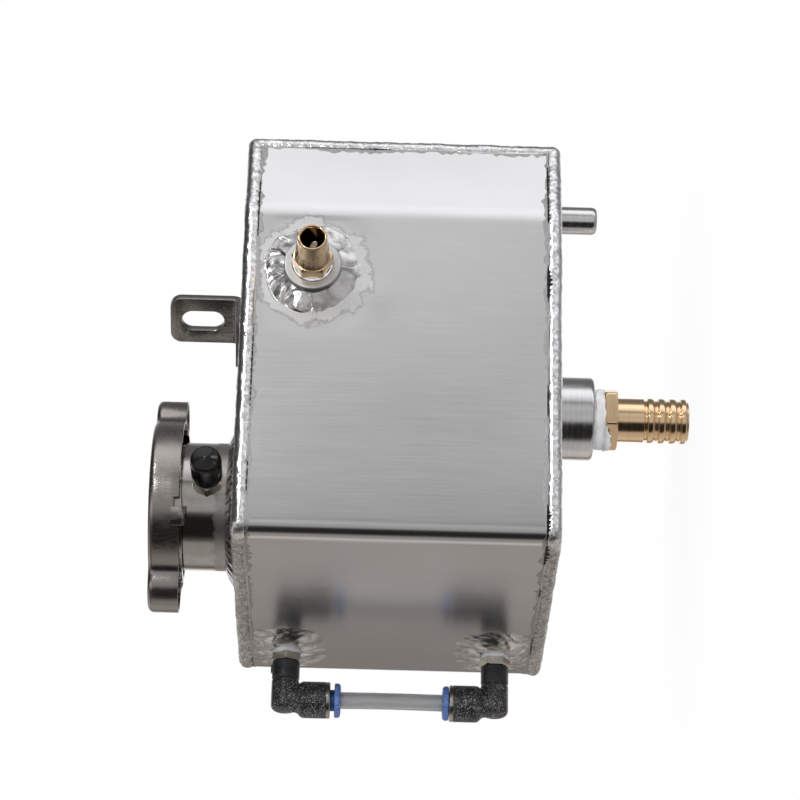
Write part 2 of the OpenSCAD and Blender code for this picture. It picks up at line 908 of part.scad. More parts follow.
// An angle bracket: a foot on the plate, a bend and a slotted upright tab
module bracket() {
    bend_out = tab_bend_r + tab_t;
    color("darkgray")
        at_bracket()
            difference() {
                union() {
                    translate([bend_out, -tab_w / 2, 0])
                        cube([foot_l, tab_w, tab_t]);
                    translate([bend_out, tab_w / 2, bend_out])
                        rotate([90, 0, 0])
                            rotate(180)
                                rotate_extrude_quarter(tab_bend_r, bend_out, tab_w);
                    translate([0, -tab_w / 2, bend_out])
                        cube([tab_t, tab_w, tab_h - tab_corner_r - bend_out]);
                    translate([0, -tab_w / 2 + tab_corner_r, bend_out])
                        cube([tab_t, tab_w - 2 * tab_corner_r, tab_h - bend_out]);
                    for (y = [-1, 1])
                        translate([0, y * (tab_w / 2 - tab_corner_r), tab_h - tab_corner_r])
                            rotate([0, 90, 0])
                                cylinder(r = tab_corner_r, h = tab_t);
                }
                for (z = [-1, 1])
                    translate([-over, 0, slot_z + z * (slot_h - slot_w) / 2])
                        rotate([0, 90, 0])
                            cylinder(d = slot_w, h = tab_t + 2 * over);
                translate([-over, -slot_w / 2, slot_z - (slot_h - slot_w) / 2])
                    cube([tab_t + 2 * over, slot_w, slot_h - slot_w]);
            }
}

// A quarter of a ring of the given height, from 0 to 90 degrees
module rotate_extrude_quarter(inner_r, outer_r, h) {
    rotate_extrude(angle = 90)
        translate([inner_r, 0])
            square([outer_r - inner_r, h]);
}

module bracket_weld() {
    leg = bracket_weld_leg;
    color("whitesmoke")
        at_bracket()
            for (side = [-1, 1])
                translate([tab_bend_r + tab_t, side * tab_w / 2, 0])
                    rotate([90, 0, 90])
                        linear_extrude(foot_l)
                            polygon([[0, 0], [side * leg, 0], [side * 0.6 * leg, 0.65 * leg], [0, leg]]);
}

module sight_bung(side) {
    color("silver")
        at_sight(side)
            translate([0, 0, -sheet - sight_bung_in])
                ring(sight_bung_d / 2, stud_thread_d / 2 + thread_gap, sight_bung_in + sheet + pool_h);
}

// The weld pool round a bung: two flat lobes, cut short of the end bead and of
// the fold at the back
module sight_weld(side) {
    clear_z = bead_reach + weld_clearance - sight_from_end;
    clear_x = sight_from_back - fold_r;
    color("whitesmoke")
        at_sight(side)
            difference() {
                for (lobe = [-1, 1])
                    translate([0, lobe * pool_shift, 0])
                        cylinder(r1 = pool_r, r2 = pool_r - 1.8 * pool_h, h = pool_h);
                translate([0, 0, -over])
                    cylinder(d = sight_bung_d, h = pool_h + 2 * over);
                translate([clear_z - 2 * pool_r, -2 * pool_r, -over])
                    cube([2 * pool_r, 4 * pool_r, pool_h + 2 * over]);
                translate([-2 * pool_r, side > 0 ? -clear_x - 2 * pool_r : clear_x, -over])
                    cube([4 * pool_r, 2 * pool_r, pool_h + 2 * over]);
            }
}

module elbow_stud(side) {
    color("darkkhaki")
        at_sight(side)
            difference() {
                union() {
                    translate([0, 0, -sight_bung_in])
                        cylinder(d = stud_thread_d, h = sight_bung_in + stud_hex_z);
                    translate([0, 0, stud_hex_z])
                        nut_hex(stud_hex, stud_hex_h, 0.4);
                    translate([0, 0, barrel_z - over])
                        cylinder(r = stud_bore_d / 2 + 1.4, h = 6 + over);
                }
                translate([0, 0, -sight_bung_in - over])
                    cylinder(d = stud_bore_d, h = sight_reach + sight_bung_in);
            }
}

module stud_tape(side) {
    color("white")
        at_sight(side)
            translate([0, 0, pool_h])
                ring(stud_thread_d / 2 + stud_tape_t, stud_thread_d / 2, stud_tape_w);
}

// A moulded elbow: an upright barrel with a rounded foot and a wider socket
// along the tube, both hollow
module elbow(side) {
    color("dimgray")
        at_sight(side)
            difference() {
                union() {
                    rotate_extrude()
                        polygon([
                            [0, barrel_z], [barrel_r - 0.3, barrel_z], [barrel_r, barrel_z + 0.4],
                            [barrel_r, sight_reach - 6], [barrel_r - 0.2, sight_reach - 5.9],
                            [barrel_r - 0.2, sight_reach - 5.6], [barrel_r, sight_reach - 5.5],
                            [barrel_r, sight_reach + barrel_end - barrel_round],
                            for (a = [15:15:90])
                                [
                                    barrel_r - barrel_round + barrel_round * cos(a),
                                    sight_reach + barrel_end - barrel_round + barrel_round * sin(a)
                                ],
                            [0, sight_reach + barrel_end]
                        ]);
                    translate([0, 0, sight_reach])
                        rotate([0, 90, 0])
                            rotate_extrude()
                                polygon([
                                    [0, 0], [barrel_r - 0.4, 0], [barrel_r - 0.4, socket_start],
                                    [socket_r, socket_start + socket_r - barrel_r],
                                    [socket_r, socket_l - 0.6], [socket_r - 0.2, socket_l], [0, socket_l]
                                ]);
                }
                translate([0, 0, barrel_z - over])
                    cylinder(r = stud_bore_d / 2 + 1.4 + thread_gap, h = 6 + over + 0.2);
                translate([0, 0, barrel_z])
                    cylinder(d = stud_bore_d, h = sight_reach - barrel_z);
                translate([0, 0, sight_reach])
                    rotate([0, 90, 0]) {
                        cylinder(d = stud_bore_d, h = socket_l + over);
                        translate([0, 0, tube_stop])
                            cylinder(r = tube_d / 2 + collar_gap, h = socket_l);
                        translate([0, 0, chamber_start])
                            cylinder(r = chamber_r, h = socket_l);
                    }
            }
}

// Places a piece round the tube, z away from the elbow's axis
module at_socket(side, out) {
    at_sight(side)
        translate([out, 0, sight_reach])
            rotate([0, 90, 0])
                children();
}

module guide_ring(side) {
    inner_r = collar_r + collar_gap;
    color("silver")
        at_socket(side, guide_start) {
            ring(chamber_r, inner_r, socket_l - guide_start);
            translate([0, 0, socket_l - guide_start])
                ring(socket_r - 0.1, inner_r, guide_rim);
        }
}

module o_ring(side) {
    color("black")
        at_socket(side, chamber_start)
            ring(chamber_r, tube_d / 2, o_ring_w);
}

module grab_ring(side) {
    color("silver")
        at_socket(side, grab_start)
            ring(chamber_r, tube_d / 2 + 0.05, 0.5);
}

// A release collar whose flange stands clear of the guide ring by the given gap
module collar(side, gap) {
    color("royalblue")
        at_socket(side, collar_start + gap)
            difference() {
                union() {
                    cylinder(r = collar_r, h = guide_end - collar_start + over);
                    translate([0, 0, guide_end - collar_start])
                        rotate_extrude()
                            polygon([
                                [0, 0], [collar_d / 2 - 0.2, 0], [collar_d / 2, 0.3],
                                [collar_d / 2, collar_flange_t - 0.8],
                                [collar_d / 2 - 0.8, collar_flange_t], [0, collar_flange_t]
                            ]);
                }
                translate([0, 0, -over])
                    cylinder(r = tube_d / 2 + collar_gap, h = socket_l);
            }
}

module sight_tube() {
    length = sight_spacing - 2 * tube_stop - 0.2;
    color("aliceblue", 0.5)
        translate([sight_x, front_y - sight_reach, mid_z - length / 2])
            ring(tube_d / 2, tube_bore_d / 2, length);
}

// Section of a cap form with a rounded upper edge, from x = 0
module crown_section(r, h, edge) {
    square([r - edge, h]);
    square([r, h - edge]);
    translate([r - edge, h - edge])
        circle(edge);
}

// A round with two ears along Y, all with the same rounded upper edge
module cap_form(shrink) {
    r = cap_d / 2 - shrink;
    ear_r = ear_w / 2 - shrink;
    h = skirt_h - shrink;
    edge = crown_r - shrink;
    ear_y = (cap_span - ear_w) / 2;
    rotate_extrude()
        crown_section(r, h, edge);
    for (end = [-1, 1])
        translate([0, end * ear_y, 0])
            rotate_extrude()
                crown_section(ear_r, h, edge);
    translate([0, ear_y, 0])
        rotate([90, 0, 0])
            linear_extrude(2 * ear_y) {
                crown_section(ear_r, h, edge);
                mirror([1, 0])
                    crown_section(ear_r, h, edge);
            }
}

module cap_shell() {
    skirt_r = cap_d / 2;
    inner_r = skirt_r - cap_sheet;
    dish_r = dish_d / 2;
    color("slategray")
        at_neck() {
            difference() {
                union() {
                    difference() {
                        translate([0, 0, rim_z])
                            cap_form(0);
                        translate([0, 0, rim_z])
                            cap_form(cap_sheet);
                    }
                    translate([0, 0, dish_z])
                        cylinder(r = dish_r + cap_sheet, h = crown_z - dish_z);
                }
                translate([0, 0, dish_z + cap_sheet])
                    cylinder(r = dish_r, h = crown_z);
                cylinder(r = rivet_r, h = crown_z);
                // Relief beside each lug
                for (half = [0, 180])
                    rotate(lug_angle + half)
                        translate([inner_r - over, lug_w / 2, rim_z - over])
                            cube([cap_sheet + 2 * over, lug_w / 2, relief_h + over]);
            }
            // The lugs: flat tabs of the skirt, turned in under the cam
            for (half = [0, 180])
                rotate(lug_angle + half) {
                    translate([inner_r + 0.05, -lug_w / 2, lug_top_z - cap_sheet])
                        cube([0.75 * cap_sheet, lug_w, rim_z - lug_top_z + cap_sheet + over]);
                    translate([inner_r - lug_reach, -lug_w / 2, lug_top_z - cap_sheet])
                        cube([lug_reach + cap_sheet / 2, lug_w, cap_sheet]);
                }
        }
}

module cap_rivet() {
    color("silver")
        at_neck()
            rotate_extrude()
                polygon([
                    [0, cage_top_z - rivet_head_h], [rivet_head_r, cage_top_z - rivet_head_h],
                    [rivet_head_r, cage_top_z], [rivet_r, cage_top_z],
                    [rivet_r, dish_z + cap_sheet], [rivet_head_r, dish_z + cap_sheet],
                    [rivet_head_r - 0.4, dish_z + cap_sheet + 0.7 * rivet_head_h],
                    [rivet_head_r - 1.6, dish_z + cap_sheet + rivet_head_h],
                    [0, dish_z + cap_sheet + rivet_head_h]
                ]);
}

module cap_cage() {
    rim_r = cage_r - 2 * press_t - spring_wire + plate_slack;
    color("darkgray")
        at_neck()
            rotate_extrude()
                polygon([
                    [rivet_r, cage_top_z], [rivet_r, disc_z], [cage_r, disc_z], [cage_r, cage_rim_z],
                    [rim_r, cage_rim_z], [rim_r, cage_rim_z + press_t],
                    [cage_r - press_t, cage_rim_z + press_t], [cage_r - press_t, cage_top_z]
                ]);
}

module cap_disc() {
    color("darkgray")
        at_neck(disc_z)
            ring(disc_d / 2, rivet_r + 0.1, disc_t);
}

module lip_gasket() {
    color("black")
        at_neck(neck_top_z)
            ring(disc_d / 2 - 2, cage_r + 1.2, lip_gasket_t);
}

module main_spring() {
    color("gray")
        at_neck()
            coil(spring_r, spring_wire / 2, plate_top_z, cage_top_z, spring_turns);
}

// A cup with a wide foot that holds the gasket and an upper flange that the
// spring bears on
module pressure_plate() {
    cup_r = cage_r - 2 * press_t - spring_wire;
    flange_r = cage_r - press_t - plate_slack;
    color("darkgray")
        at_neck()
            difference() {
                rotate_extrude()
                    polygon([
                        [valve_stem_r + 0.2, plate_foot_z], [seat_gasket_d / 2, plate_foot_z],
                        [seat_gasket_d / 2, plate_foot_z + press_t], [cup_r, plate_foot_z + press_t],
                        [cup_r, plate_top_z - press_t], [flange_r, plate_top_z - press_t],
                        [flange_r, plate_top_z], [cup_r - press_t, plate_top_z],
                        [cup_r - press_t, plate_foot_z + press_t],
                        [valve_stem_r + 0.2, plate_foot_z + press_t]
                    ]);
                for (a = [45:90:315])
                    rotate(a)
                        translate([valve_d / 4 + 1, 0, plate_foot_z - over])
                            cylinder(r = 1.6, h = press_t + 2 * over);
            }
}

module seat_gasket() {
    color("black")
        at_neck(seat_top_z)
            ring(seat_gasket_d / 2, valve_d / 2 - 1.5, seat_gasket_t);
}

module vacuum_valve() {
    clip_z = plate_foot_z + press_t + valve_spring_l;
    color("goldenrod")
        at_neck()
            rotate_extrude()
                polygon([
                    [0, seat_top_z - valve_t], [valve_d / 2, seat_top_z - valve_t],
                    [valve_d / 2, seat_top_z], [valve_stem_r, seat_top_z], [valve_stem_r, clip_z],
                    [valve_clip_r, clip_z], [valve_clip_r, clip_z + valve_t], [0, clip_z + valve_t]
                ]);
}

module vacuum_spring() {
    base_z = plate_foot_z + press_t;
    color("gray")
        at_neck()
            coil(2.5, 0.3, base_z, base_z + valve_spring_l, 3);
}

wrap_sheet();
top_plate();
bottom_plate();
top_seam_weld();
bottom_seam_weld();
side_seam_weld();
filler_neck();
neck_weld();
overflow_fitting();
overflow_cap();
vent_bung();
vent_weld();
vent_nipple();
vent_tape();
outlet_bung();
outlet_weld();
outlet_barb();
outlet_tape();
locating_pin();
pin_weld();
bracket();
bracket_weld();
sight_bung(1);  // upper_sight_bung
sight_weld(1);  // upper_sight_weld
elbow_stud(1);  // upper_stud
stud_tape(1);  // upper_stud_tape
elbow(1);  // upper_elbow
guide_ring(1);  // upper_guide_ring
o_ring(1);  // upper_o_ring
grab_ring(1);  // upper_grab_ring
collar(1, collar_travel + 0.2);  // upper_collar
sight_bung(-1);  // lower_sight_bung
sight_weld(-1);  // lower_sight_weld
elbow_stud(-1);  // lower_stud
stud_tape(-1);  // lower_stud_tape
elbow(-1);  // lower_elbow
guide_ring(-1);  // lower_guide_ring
o_ring(-1);  // lower_o_ring
grab_ring(-1);  // lower_grab_ring
collar(-1, 0.2);  // lower_collar
sight_tube();
cap_shell();
cap_rivet();
cap_cage();
cap_disc();
lip_gasket();
main_spring();
pressure_plate();
seat_gasket();
vacuum_valve();
vacuum_spring();
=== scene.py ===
import math

import bpy
import bmesh
import numpy as np
from mathutils import Matrix, Vector


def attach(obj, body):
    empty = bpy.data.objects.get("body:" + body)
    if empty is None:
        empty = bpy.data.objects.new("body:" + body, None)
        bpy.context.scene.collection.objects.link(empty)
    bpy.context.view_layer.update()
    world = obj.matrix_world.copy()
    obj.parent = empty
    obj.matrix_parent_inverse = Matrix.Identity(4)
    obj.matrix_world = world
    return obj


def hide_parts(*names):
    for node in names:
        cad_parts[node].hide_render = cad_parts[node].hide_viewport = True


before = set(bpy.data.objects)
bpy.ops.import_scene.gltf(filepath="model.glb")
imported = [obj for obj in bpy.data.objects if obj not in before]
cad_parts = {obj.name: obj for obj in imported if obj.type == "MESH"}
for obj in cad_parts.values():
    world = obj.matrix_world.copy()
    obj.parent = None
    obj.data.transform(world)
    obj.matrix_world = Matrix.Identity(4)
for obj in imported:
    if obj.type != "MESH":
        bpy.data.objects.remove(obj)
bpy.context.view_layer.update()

# A welded coolant expansion tank. Lengths here are in millimetres, in the CAD
# row's own frame, and are scaled to metres as each mesh is made.
MM = 0.001

X, Y, Z = np.eye(3)
TOP, BOTTOM, SHEET = 111.5, 1.5, 2.5
NECK = np.array([-25.5, -106.0, 0.0])
OUTLET = np.array([-25.5, -67.5, 0.0])
PORT_Z = 122.5
VENT = np.array([40.0, -44.0, 87.5])
SIGHT_X, FRONT_Y, SIGHT_Z = -66, -143, (94.2, 18.8)
TUBE_R, TUBE_BORE, TUBE_DEPTH = 3.0, 2.0, 20
BEAD_R, CORE_R, TAPE_THICK = 3.3, 3.0, 0.16
CORNERS = np.array([(40, -143), (40, -20), (30.7, 13), (-91, 13), (-91, -143)], float)
RADII = [5, 20, 2.5, 5, 5]


# ---------------------------------------------------------------- camera
def unit(v):
    return np.asarray(v, float) / np.linalg.norm(v)


right = unit((0.0192, 0.0213, -0.9996))
ahead = unit((-0.9034, 0.4287, -0.0082))
down = unit(np.cross(ahead, right))
ahead = np.cross(right, down)
camera = bpy.data.objects.new("camera", bpy.data.cameras.new("camera"))
bpy.context.collection.objects.link(camera)
bpy.context.scene.camera = camera
bpy.context.scene.view_settings.view_transform = "Standard"
camera.data.sensor_width = 36
camera.data.lens = 144
camera.data.clip_end = 30
camera_at = (1.0212, -0.5585, 0.0652)
turn = Matrix([[right[i], -down[i], -ahead[i]] for i in range(3)]).to_4x4()
camera.matrix_world = Matrix.Translation(camera_at) @ turn


# ---------------------------------------------------------------- node helpers
def add(tree, kind, inputs=None, **settings):
    """A node whose inputs are given by name or number, as values or as sockets."""
    n = tree.nodes.new("ShaderNode" + kind)
    for key, value in settings.items():
        setattr(n, key, value)
    for key, value in (inputs or {}).items():
        if isinstance(value, bpy.types.NodeSocket):
            tree.links.new(value, n.inputs[key])
        elif isinstance(value, (tuple, list)) and len(value) == 3 and n.inputs[key].type == "RGBA":
            n.inputs[key].default_value = (*value, 1)
        else:
            n.inputs[key].default_value = value
    return n


def calc(tree, operation, a, b=0.0, c=0.0):
    return add(tree, "Math", {0: a, 1: b, 2: c}, operation=operation).outputs[0]


def times(tree, a, b):
    return calc(tree, "MULTIPLY", a, b)


def plus(tree, a, b):
    return calc(tree, "ADD", a, b)


def spread(tree, value, lo, hi, to_lo=0.0, to_hi=1.0, kind="SMOOTHSTEP"):
    """Maps lo..hi to to_lo..to_hi, smoothly at the ends."""
    n = add(tree, "MapRange", {0: value, 1: lo, 2: hi, 3: to_lo, 4: to_hi}, interpolation_type=kind)
    return n.outputs[0]


def linear(tree, value, lo, hi, to_lo, to_hi):
    return spread(tree, value, lo, hi, to_lo, to_hi, "LINEAR")


def place_mm(tree, scale=(1, 1, 1)):
    """Object coordinates in millimetres, each axis scaled."""
    where = add(tree, "TexCoord").outputs["Object"]
    return add(tree, "VectorMath", {0: where, 1: tuple(s / MM for s in scale)},
               operation="MULTIPLY").outputs[0]


def grain(tree, where, scale=1.0, detail=2.0, rough=0.5, twist=0.0):
    return add(tree, "TexNoise", {"Vector": where, "Scale": scale, "Detail": detail, "Roughness": rough,
                                  "Distortion": twist}).outputs[0]


def tint(tree, fac, a, b):
    mix = add(tree, "Mix", data_type="RGBA")
    for socket, value in ((mix.inputs[0], fac), (mix.inputs[6], a), (mix.inputs[7], b)):
        if isinstance(value, bpy.types.NodeSocket):
            tree.links.new(value, socket)
        else:
            socket.default_value = (*value, 1) if isinstance(value, tuple) else value
    return mix.outputs[2]


def attribute(tree, name):
    return add(tree, "Attribute", attribute_name=name).outputs["Fac"]


def new_material(name):
    m = bpy.data.materials.new(name)
    m.use_nodes = True
    tree = m.node_tree
    tree.nodes.clear()
    out = add(tree, "OutputMaterial")
    shader = add(tree, "BsdfPrincipled")
    tree.links.new(shader.outputs[0], out.inputs[0])
    return m, tree, shader


def bump(tree, shader, height, depth):
    """Bump of a height from 0 to 1 that is depth millimetres deep."""
    n = add(tree, "Bump", {"Height": height, "Strength": 1.0, "Distance": depth * MM})
    tree.links.new(n.outputs[0], shader.inputs["Normal"])


def put(tree, shader, **sockets):
    for key, value in sockets.items():
        socket = shader.inputs[key.replace("_", " ")]
        if isinstance(value, bpy.types.NodeSocket):
            tree.links.new(value, socket)
        else:
            socket.default_value = (*value, 1) if isinstance(value, tuple) else value


# ---------------------------------------------------------------- studio
PHOTO_UP = unit(-down)
TOWARD = unit(-ahead)
BRIGHT, PLAIN, WARM, BROWN = (1.0, 0.995, 1.01), (1.0, 0.99, 0.985), (1.0, 0.945, 0.89), (1.0, 0.91, 0.84)
# Brightness round the studio, by degrees from the camera up over the softbox to the white backdrop behind,
# and with a minus sign from the camera down
STOPS = [
    (-180, 1.00, PLAIN), (-158, 0.95, PLAIN), (-147, 0.40, BROWN), (-138, 0.14, BROWN), (-131, 0.40, BROWN),
    (-122, 0.56, WARM), (-104, 0.60, WARM), (-92, 0.48, WARM), (-76, 0.48, WARM), (-67, 0.42, WARM),
    (-60, 0.12, WARM), (-52, 0.02, WARM), (-18, 0.02, PLAIN), (-11, 0.10, PLAIN), (-5, 0.48, PLAIN),
    (4, 0.56, PLAIN), (16, 0.50, PLAIN), (32, 0.60, PLAIN), (40, 0.52, PLAIN), (45, 0.30, PLAIN),
    (49, 0.32, PLAIN), (54, 0.72, PLAIN), (62, 0.92, BRIGHT), (72, 1.22, BRIGHT), (88, 1.26, BRIGHT),
    (94, 0.62, PLAIN), (102, 0.22, PLAIN), (124, 0.16, PLAIN), (144, 0.20, PLAIN), (162, 0.50, PLAIN),
    (172, 1.00, PLAIN), (180, 1.00, PLAIN),
]
# The same for what lies far to the left: dark but for a soft light beside the camera and the backdrop's foot
LEFT = [
    (-180, 0.05, PLAIN), (-154, 0.05, PLAIN), (-142, 0.75, PLAIN), (-114, 0.85, PLAIN), (-100, 0.10, PLAIN),
    (-26, 0.04, PLAIN), (-16, 0.50, PLAIN), (-4, 0.95, BRIGHT), (10, 0.95, BRIGHT), (22, 0.30, PLAIN),
    (34, 0.05, PLAIN), (180, 0.05, PLAIN),
]

world = bpy.data.worlds.new("studio")
bpy.context.scene.world = world
world.use_nodes = True
wt = world.node_tree
wt.nodes.clear()
ray = add(wt, "LightPath").outputs
toward = add(wt, "TexCoord").outputs["Generated"]


def along_axis(axis):
    return add(wt, "VectorMath", {0: toward, 1: tuple(axis)}, operation="DOT_PRODUCT").outputs["Value"]


height = calc(wt, "ARCTAN2", along_axis(PHOTO_UP), along_axis(TOWARD))
height = calc(wt, "MULTIPLY_ADD", height, 0.5 / math.pi, 0.5)


def sky(stops):
    n = add(wt, "ValToRGB", {0: height})
    while len(n.color_ramp.elements) < len(stops):
        n.color_ramp.elements.new(0.5)
    for element, (degrees, level, hue) in zip(n.color_ramp.elements, stops):
        element.position = degrees / 360 + 0.5
        element.color = (*(level * c for c in hue), 1)
    return n.outputs[0]


across = along_axis(right)
studio = tint(wt, spread(wt, across, 0.55, 0.95), sky(STOPS), (0.30, 0.30, 0.30))
studio = tint(wt, spread(wt, across, -0.40, -0.75), studio, sky(LEFT))
soft = tint(wt, ray["Is Glossy Ray"], (0.62, 0.62, 0.62), studio)
seen = calc(wt, "MAXIMUM", ray["Is Camera Ray"], ray["Is Transmission Ray"])
back = add(wt, "Background", {"Color": tint(wt, seen, soft, (1.0, 1.0, 1.0)), "Strength": 1.0})
wt.links.new(back.outputs[0], add(wt, "OutputWorld").inputs[0])


def lamp(name, direction, distance, size, watts, glossy=True):
    data = bpy.data.lights.new(name, "AREA")
    data.shape = "DISK"
    data.size = size
    data.energy = watts
    o = bpy.data.objects.new(name, data)
    bpy.context.collection.objects.link(o)
    aim = unit(direction)
    o.location = Vector((-0.02, -0.07, 0.05)) + Vector(aim) * distance
    o.rotation_euler = Vector(aim).to_track_quat("Z", "Y").to_euler()
    o.visible_glossy = glossy
    o.visible_camera = False


lamp("key", (0.45, 0.86, 0.25), 1.4, 1.2, 14, glossy=False)
lamp("fill", (0.95, -0.30, 0.25), 1.5, 1.2, 9, glossy=False)
lamp("spark", (0.79, 0.43, 0.44), 1.2, 0.16, 1.2)
lamp("strip", (0.94, 0.08, 0.34), 1.2, 0.14, 1.2)


# ---------------------------------------------------------------- noise
def lattice(i, j, k, seed):
    n = (i * 73856093) ^ (j * 19349663) ^ (k * 83492791) ^ (seed * 2654435761)
    n &= 0xFFFFFFFF
    n = ((n ^ (n >> 15)) * 2246822519) & 0xFFFFFFFF
    n = ((n ^ (n >> 13)) * 3266489917) & 0xFFFFFFFF
    return ((n ^ (n >> 16)) & 0xFFFFFF) / 0x7FFFFF - 1.0


def noise(x, y=0.0, z=0.0, seed=0):
    """Smooth value noise from -1 to 1, one lattice cell to a unit."""
    x, y, z = np.broadcast_arrays(np.asarray(x, float), y, z)
    i, j, k = (np.floor(v).astype(np.int64) for v in (x, y, z))
    fx, fy, fz = (v - np.floor(v) for v in (x, y, z))
    fx, fy, fz = (f * f * (3 - 2 * f) for f in (fx, fy, fz))
    total = 0.0
    for dx in (0, 1):
        for dy in (0, 1):
            for dz in (0, 1):
                w = (fx if dx else 1 - fx) * (fy if dy else 1 - fy) * (fz if dz else 1 - fz)
                total = total + w * lattice(i + dx, j + dy, k + dz, seed)
    return total


# ---------------------------------------------------------------- mesh helpers
def around(n):
    """n angles round a circle."""
    return np.linspace(0, 2 * np.pi, n, endpoint=False)


def polar(r, theta, z):
    """Points at a radius, an angle and a height."""
    return np.stack([r * np.cos(theta), r * np.sin(theta), z + 0 * theta], -1)


def raw_mesh(name, verts, faces):
    """A mesh from millimetre points."""
    mesh = bpy.data.meshes.new(name)
    points = [tuple(v) for v in np.asarray(verts, float) * MM]
    mesh.from_pydata(points, [], [tuple(int(i) for i in f) for f in faces])
    return mesh


def mend(mesh, merge=0.0):
    """Merges points that are closer than merge metres, and turns all faces outward."""
    bm = bmesh.new()
    bm.from_mesh(mesh)
    if merge:
        bmesh.ops.remove_doubles(bm, verts=bm.verts, dist=merge)
    bmesh.ops.recalc_face_normals(bm, faces=bm.faces)
    bm.to_mesh(mesh)
    bm.free()


def build(name, verts, faces, key, body="tank", stands_for=(), relief=None, angle=40, along=None, weld=False,
          tone=None):
    """Makes a piece with the material of a key, shades it smooth below an angle, and rides it on a body."""
    mesh = raw_mesh(name, verts, faces)
    for label, values in (("relief", relief), ("along", along), ("tone", tone)):
        if values is not None:
            a = mesh.attributes.new(label, "FLOAT", "POINT")
            a.data.foreach_set("value", np.asarray(values, np.float32).ravel())
    mend(mesh, 2e-7 if weld else 0.0)
    mesh.shade_smooth()
    if angle:
        mesh.set_sharp_from_angle(angle=math.radians(angle))
    mesh.materials.append(M[key])
    o = bpy.data.objects.new(name, mesh)
    bpy.context.collection.objects.link(o)
    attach(o, body)
    if stands_for:
        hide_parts(*([stands_for] if isinstance(stands_for, str) else stands_for))
    return o


def rod_faces(rows, cols, closed=False):
    """Faces of a tube of rows, with its two ends closed unless it closes on itself."""
    faces = [tuple(q) for q in grid_faces(rows, cols, wrap_rows=closed, wrap_cols=True)]
    if not closed:
        faces += [tuple(range(cols)), tuple(range((rows - 1) * cols, rows * cols))]
    return faces


def grid_faces(rows, cols, wrap_rows=False, wrap_cols=False):
    r = np.arange(rows if wrap_rows else rows - 1)
    c = np.arange(cols if wrap_cols else cols - 1)
    r, c = (v.ravel() for v in np.meshgrid(r, c, indexing="ij"))
    r2, c2 = (r + 1) % rows, (c + 1) % cols
    return np.stack([r * cols + c, r2 * cols + c, r2 * cols + c2, r * cols + c2], 1)


def frame_at(origin, ex, ez):
    """An axis frame as (origin, x, y, z)."""
    ex, ez = unit(ex), unit(ez)
    return np.asarray(origin, float), ex, np.cross(ez, ex), ez


def into(where, p):
    o, ex, ey, ez = where
    p = np.asarray(p, float)
    return o + p[..., 0:1] * ex + p[..., 1:2] * ey + p[..., 2:3] * ez


def rounded(profile, radius=0.2, steps=4, closed=False):
    """A polyline with its corners rounded. A point may carry its own radius as a third value."""
    pts = [np.array(p[:2], float) for p in profile]
    radii = [p[2] if len(p) > 2 else radius for p in profile]
    out, n = [], len(pts)
    for i in range(n):
        if not closed and i in (0, n - 1):
            out.append(pts[i])
            continue
        before, here, after = pts[i - 1], pts[i], pts[(i + 1) % n]
        u, v = before - here, after - here
        lu, lv = np.linalg.norm(u), np.linalg.norm(v)
        cut = min(radii[i], 0.45 * lu, 0.45 * lv)
        if cut < 0.01 or abs(np.cross(u, v)) < 1e-6 * lu * lv:
            out.append(here)
            continue
        a, b = here + u / lu * cut, here + v / lv * cut
        for t in np.linspace(0, 1, steps + 1):
            out.append((1 - t) ** 2 * a + 2 * t * (1 - t) * here + t * t * b)
    return np.array(out)


def finer(points, step):
    """Adds points so that no stretch of a polyline is longer than step."""
    out = [points[0]]
    for a, b in zip(points[:-1], points[1:]):
        k = max(1, int(np.ceil(np.linalg.norm(b - a) / step)))
        out += [a + (b - a) * t for t in np.linspace(0, 1, k + 1)[1:]]
    return np.array(out)


def smooth_min(a, b, k):
    h = np.clip(0.5 + 0.5 * (b - a) / k, 0, 1)
    return b * (1 - h) + a * h - k * h * (1 - h)


def hexagon(theta, flats, soft=70):
    """Radius of a hexagon with slightly rounded corners, at each angle."""
    total = sum(np.clip(np.cos(theta - math.radians(60 * k + 30)), 0, None) ** soft for k in range(6))
    return flats / 2 / total ** (1 / soft)


def lathe_mesh(where, profile, n=128, flats=None, turn=0.0, wobble=None, step=None):
    """Points, faces and along-profile lengths of a revolved closed profile of (r, z) pairs."""
    p = np.asarray(profile, float)
    if step:
        p = finer(np.vstack([p, p[:1]]), step)[:-1]
    theta = around(n)
    r = np.repeat(p[:, 0:1], n, 1)
    z = np.repeat(p[:, 1:2], n, 1)
    if flats:
        r = np.minimum(smooth_min(r, hexagon(theta + turn, flats)[None, :], 0.12), r)
    if wobble:
        r, z = wobble(r, z, theta[None, :])
    length = np.concatenate([[0], np.cumsum(np.linalg.norm(np.diff(p, axis=0), axis=1))])
    pts = into(where, np.stack([r * np.cos(theta), r * np.sin(theta), z], -1)).reshape(-1, 3)
    return pts, grid_faces(len(p), n, wrap_rows=True, wrap_cols=True), np.repeat(length, n)


def join(*parts):
    """Joins (points, faces, along) meshes into one."""
    verts, faces, values, base = [], [], [], 0
    for v, f, a in parts:
        verts.append(v)
        faces += [tuple(int(i) + base for i in q) for q in f]
        values.append(a)
        base += len(v)
    return np.vstack(verts), faces, np.concatenate(values)


def lathe(name, where, profile, key, soft=0.2, n=128, angle=50, closed=True, **more):
    """Makes a turned piece from its profile, with its edges rounded."""
    shape = {k: more.pop(k) for k in ("flats", "turn", "wobble", "step") if k in more}
    v, f, a = lathe_mesh(where, rounded(profile, soft, closed=closed), n, **shape)
    return build(name, v, f, key, along=a, angle=angle, weld=True, **more)


# ---------------------------------------------------------------- plan of the box
def side_angle(i):
    a, b = CORNERS[i], CORNERS[(i + 1) % 5]
    return math.atan2(b[1] - a[1], b[0] - a[0])


def turn_at(i):
    return (side_angle(i) - side_angle(i - 1)) % (2 * math.pi)


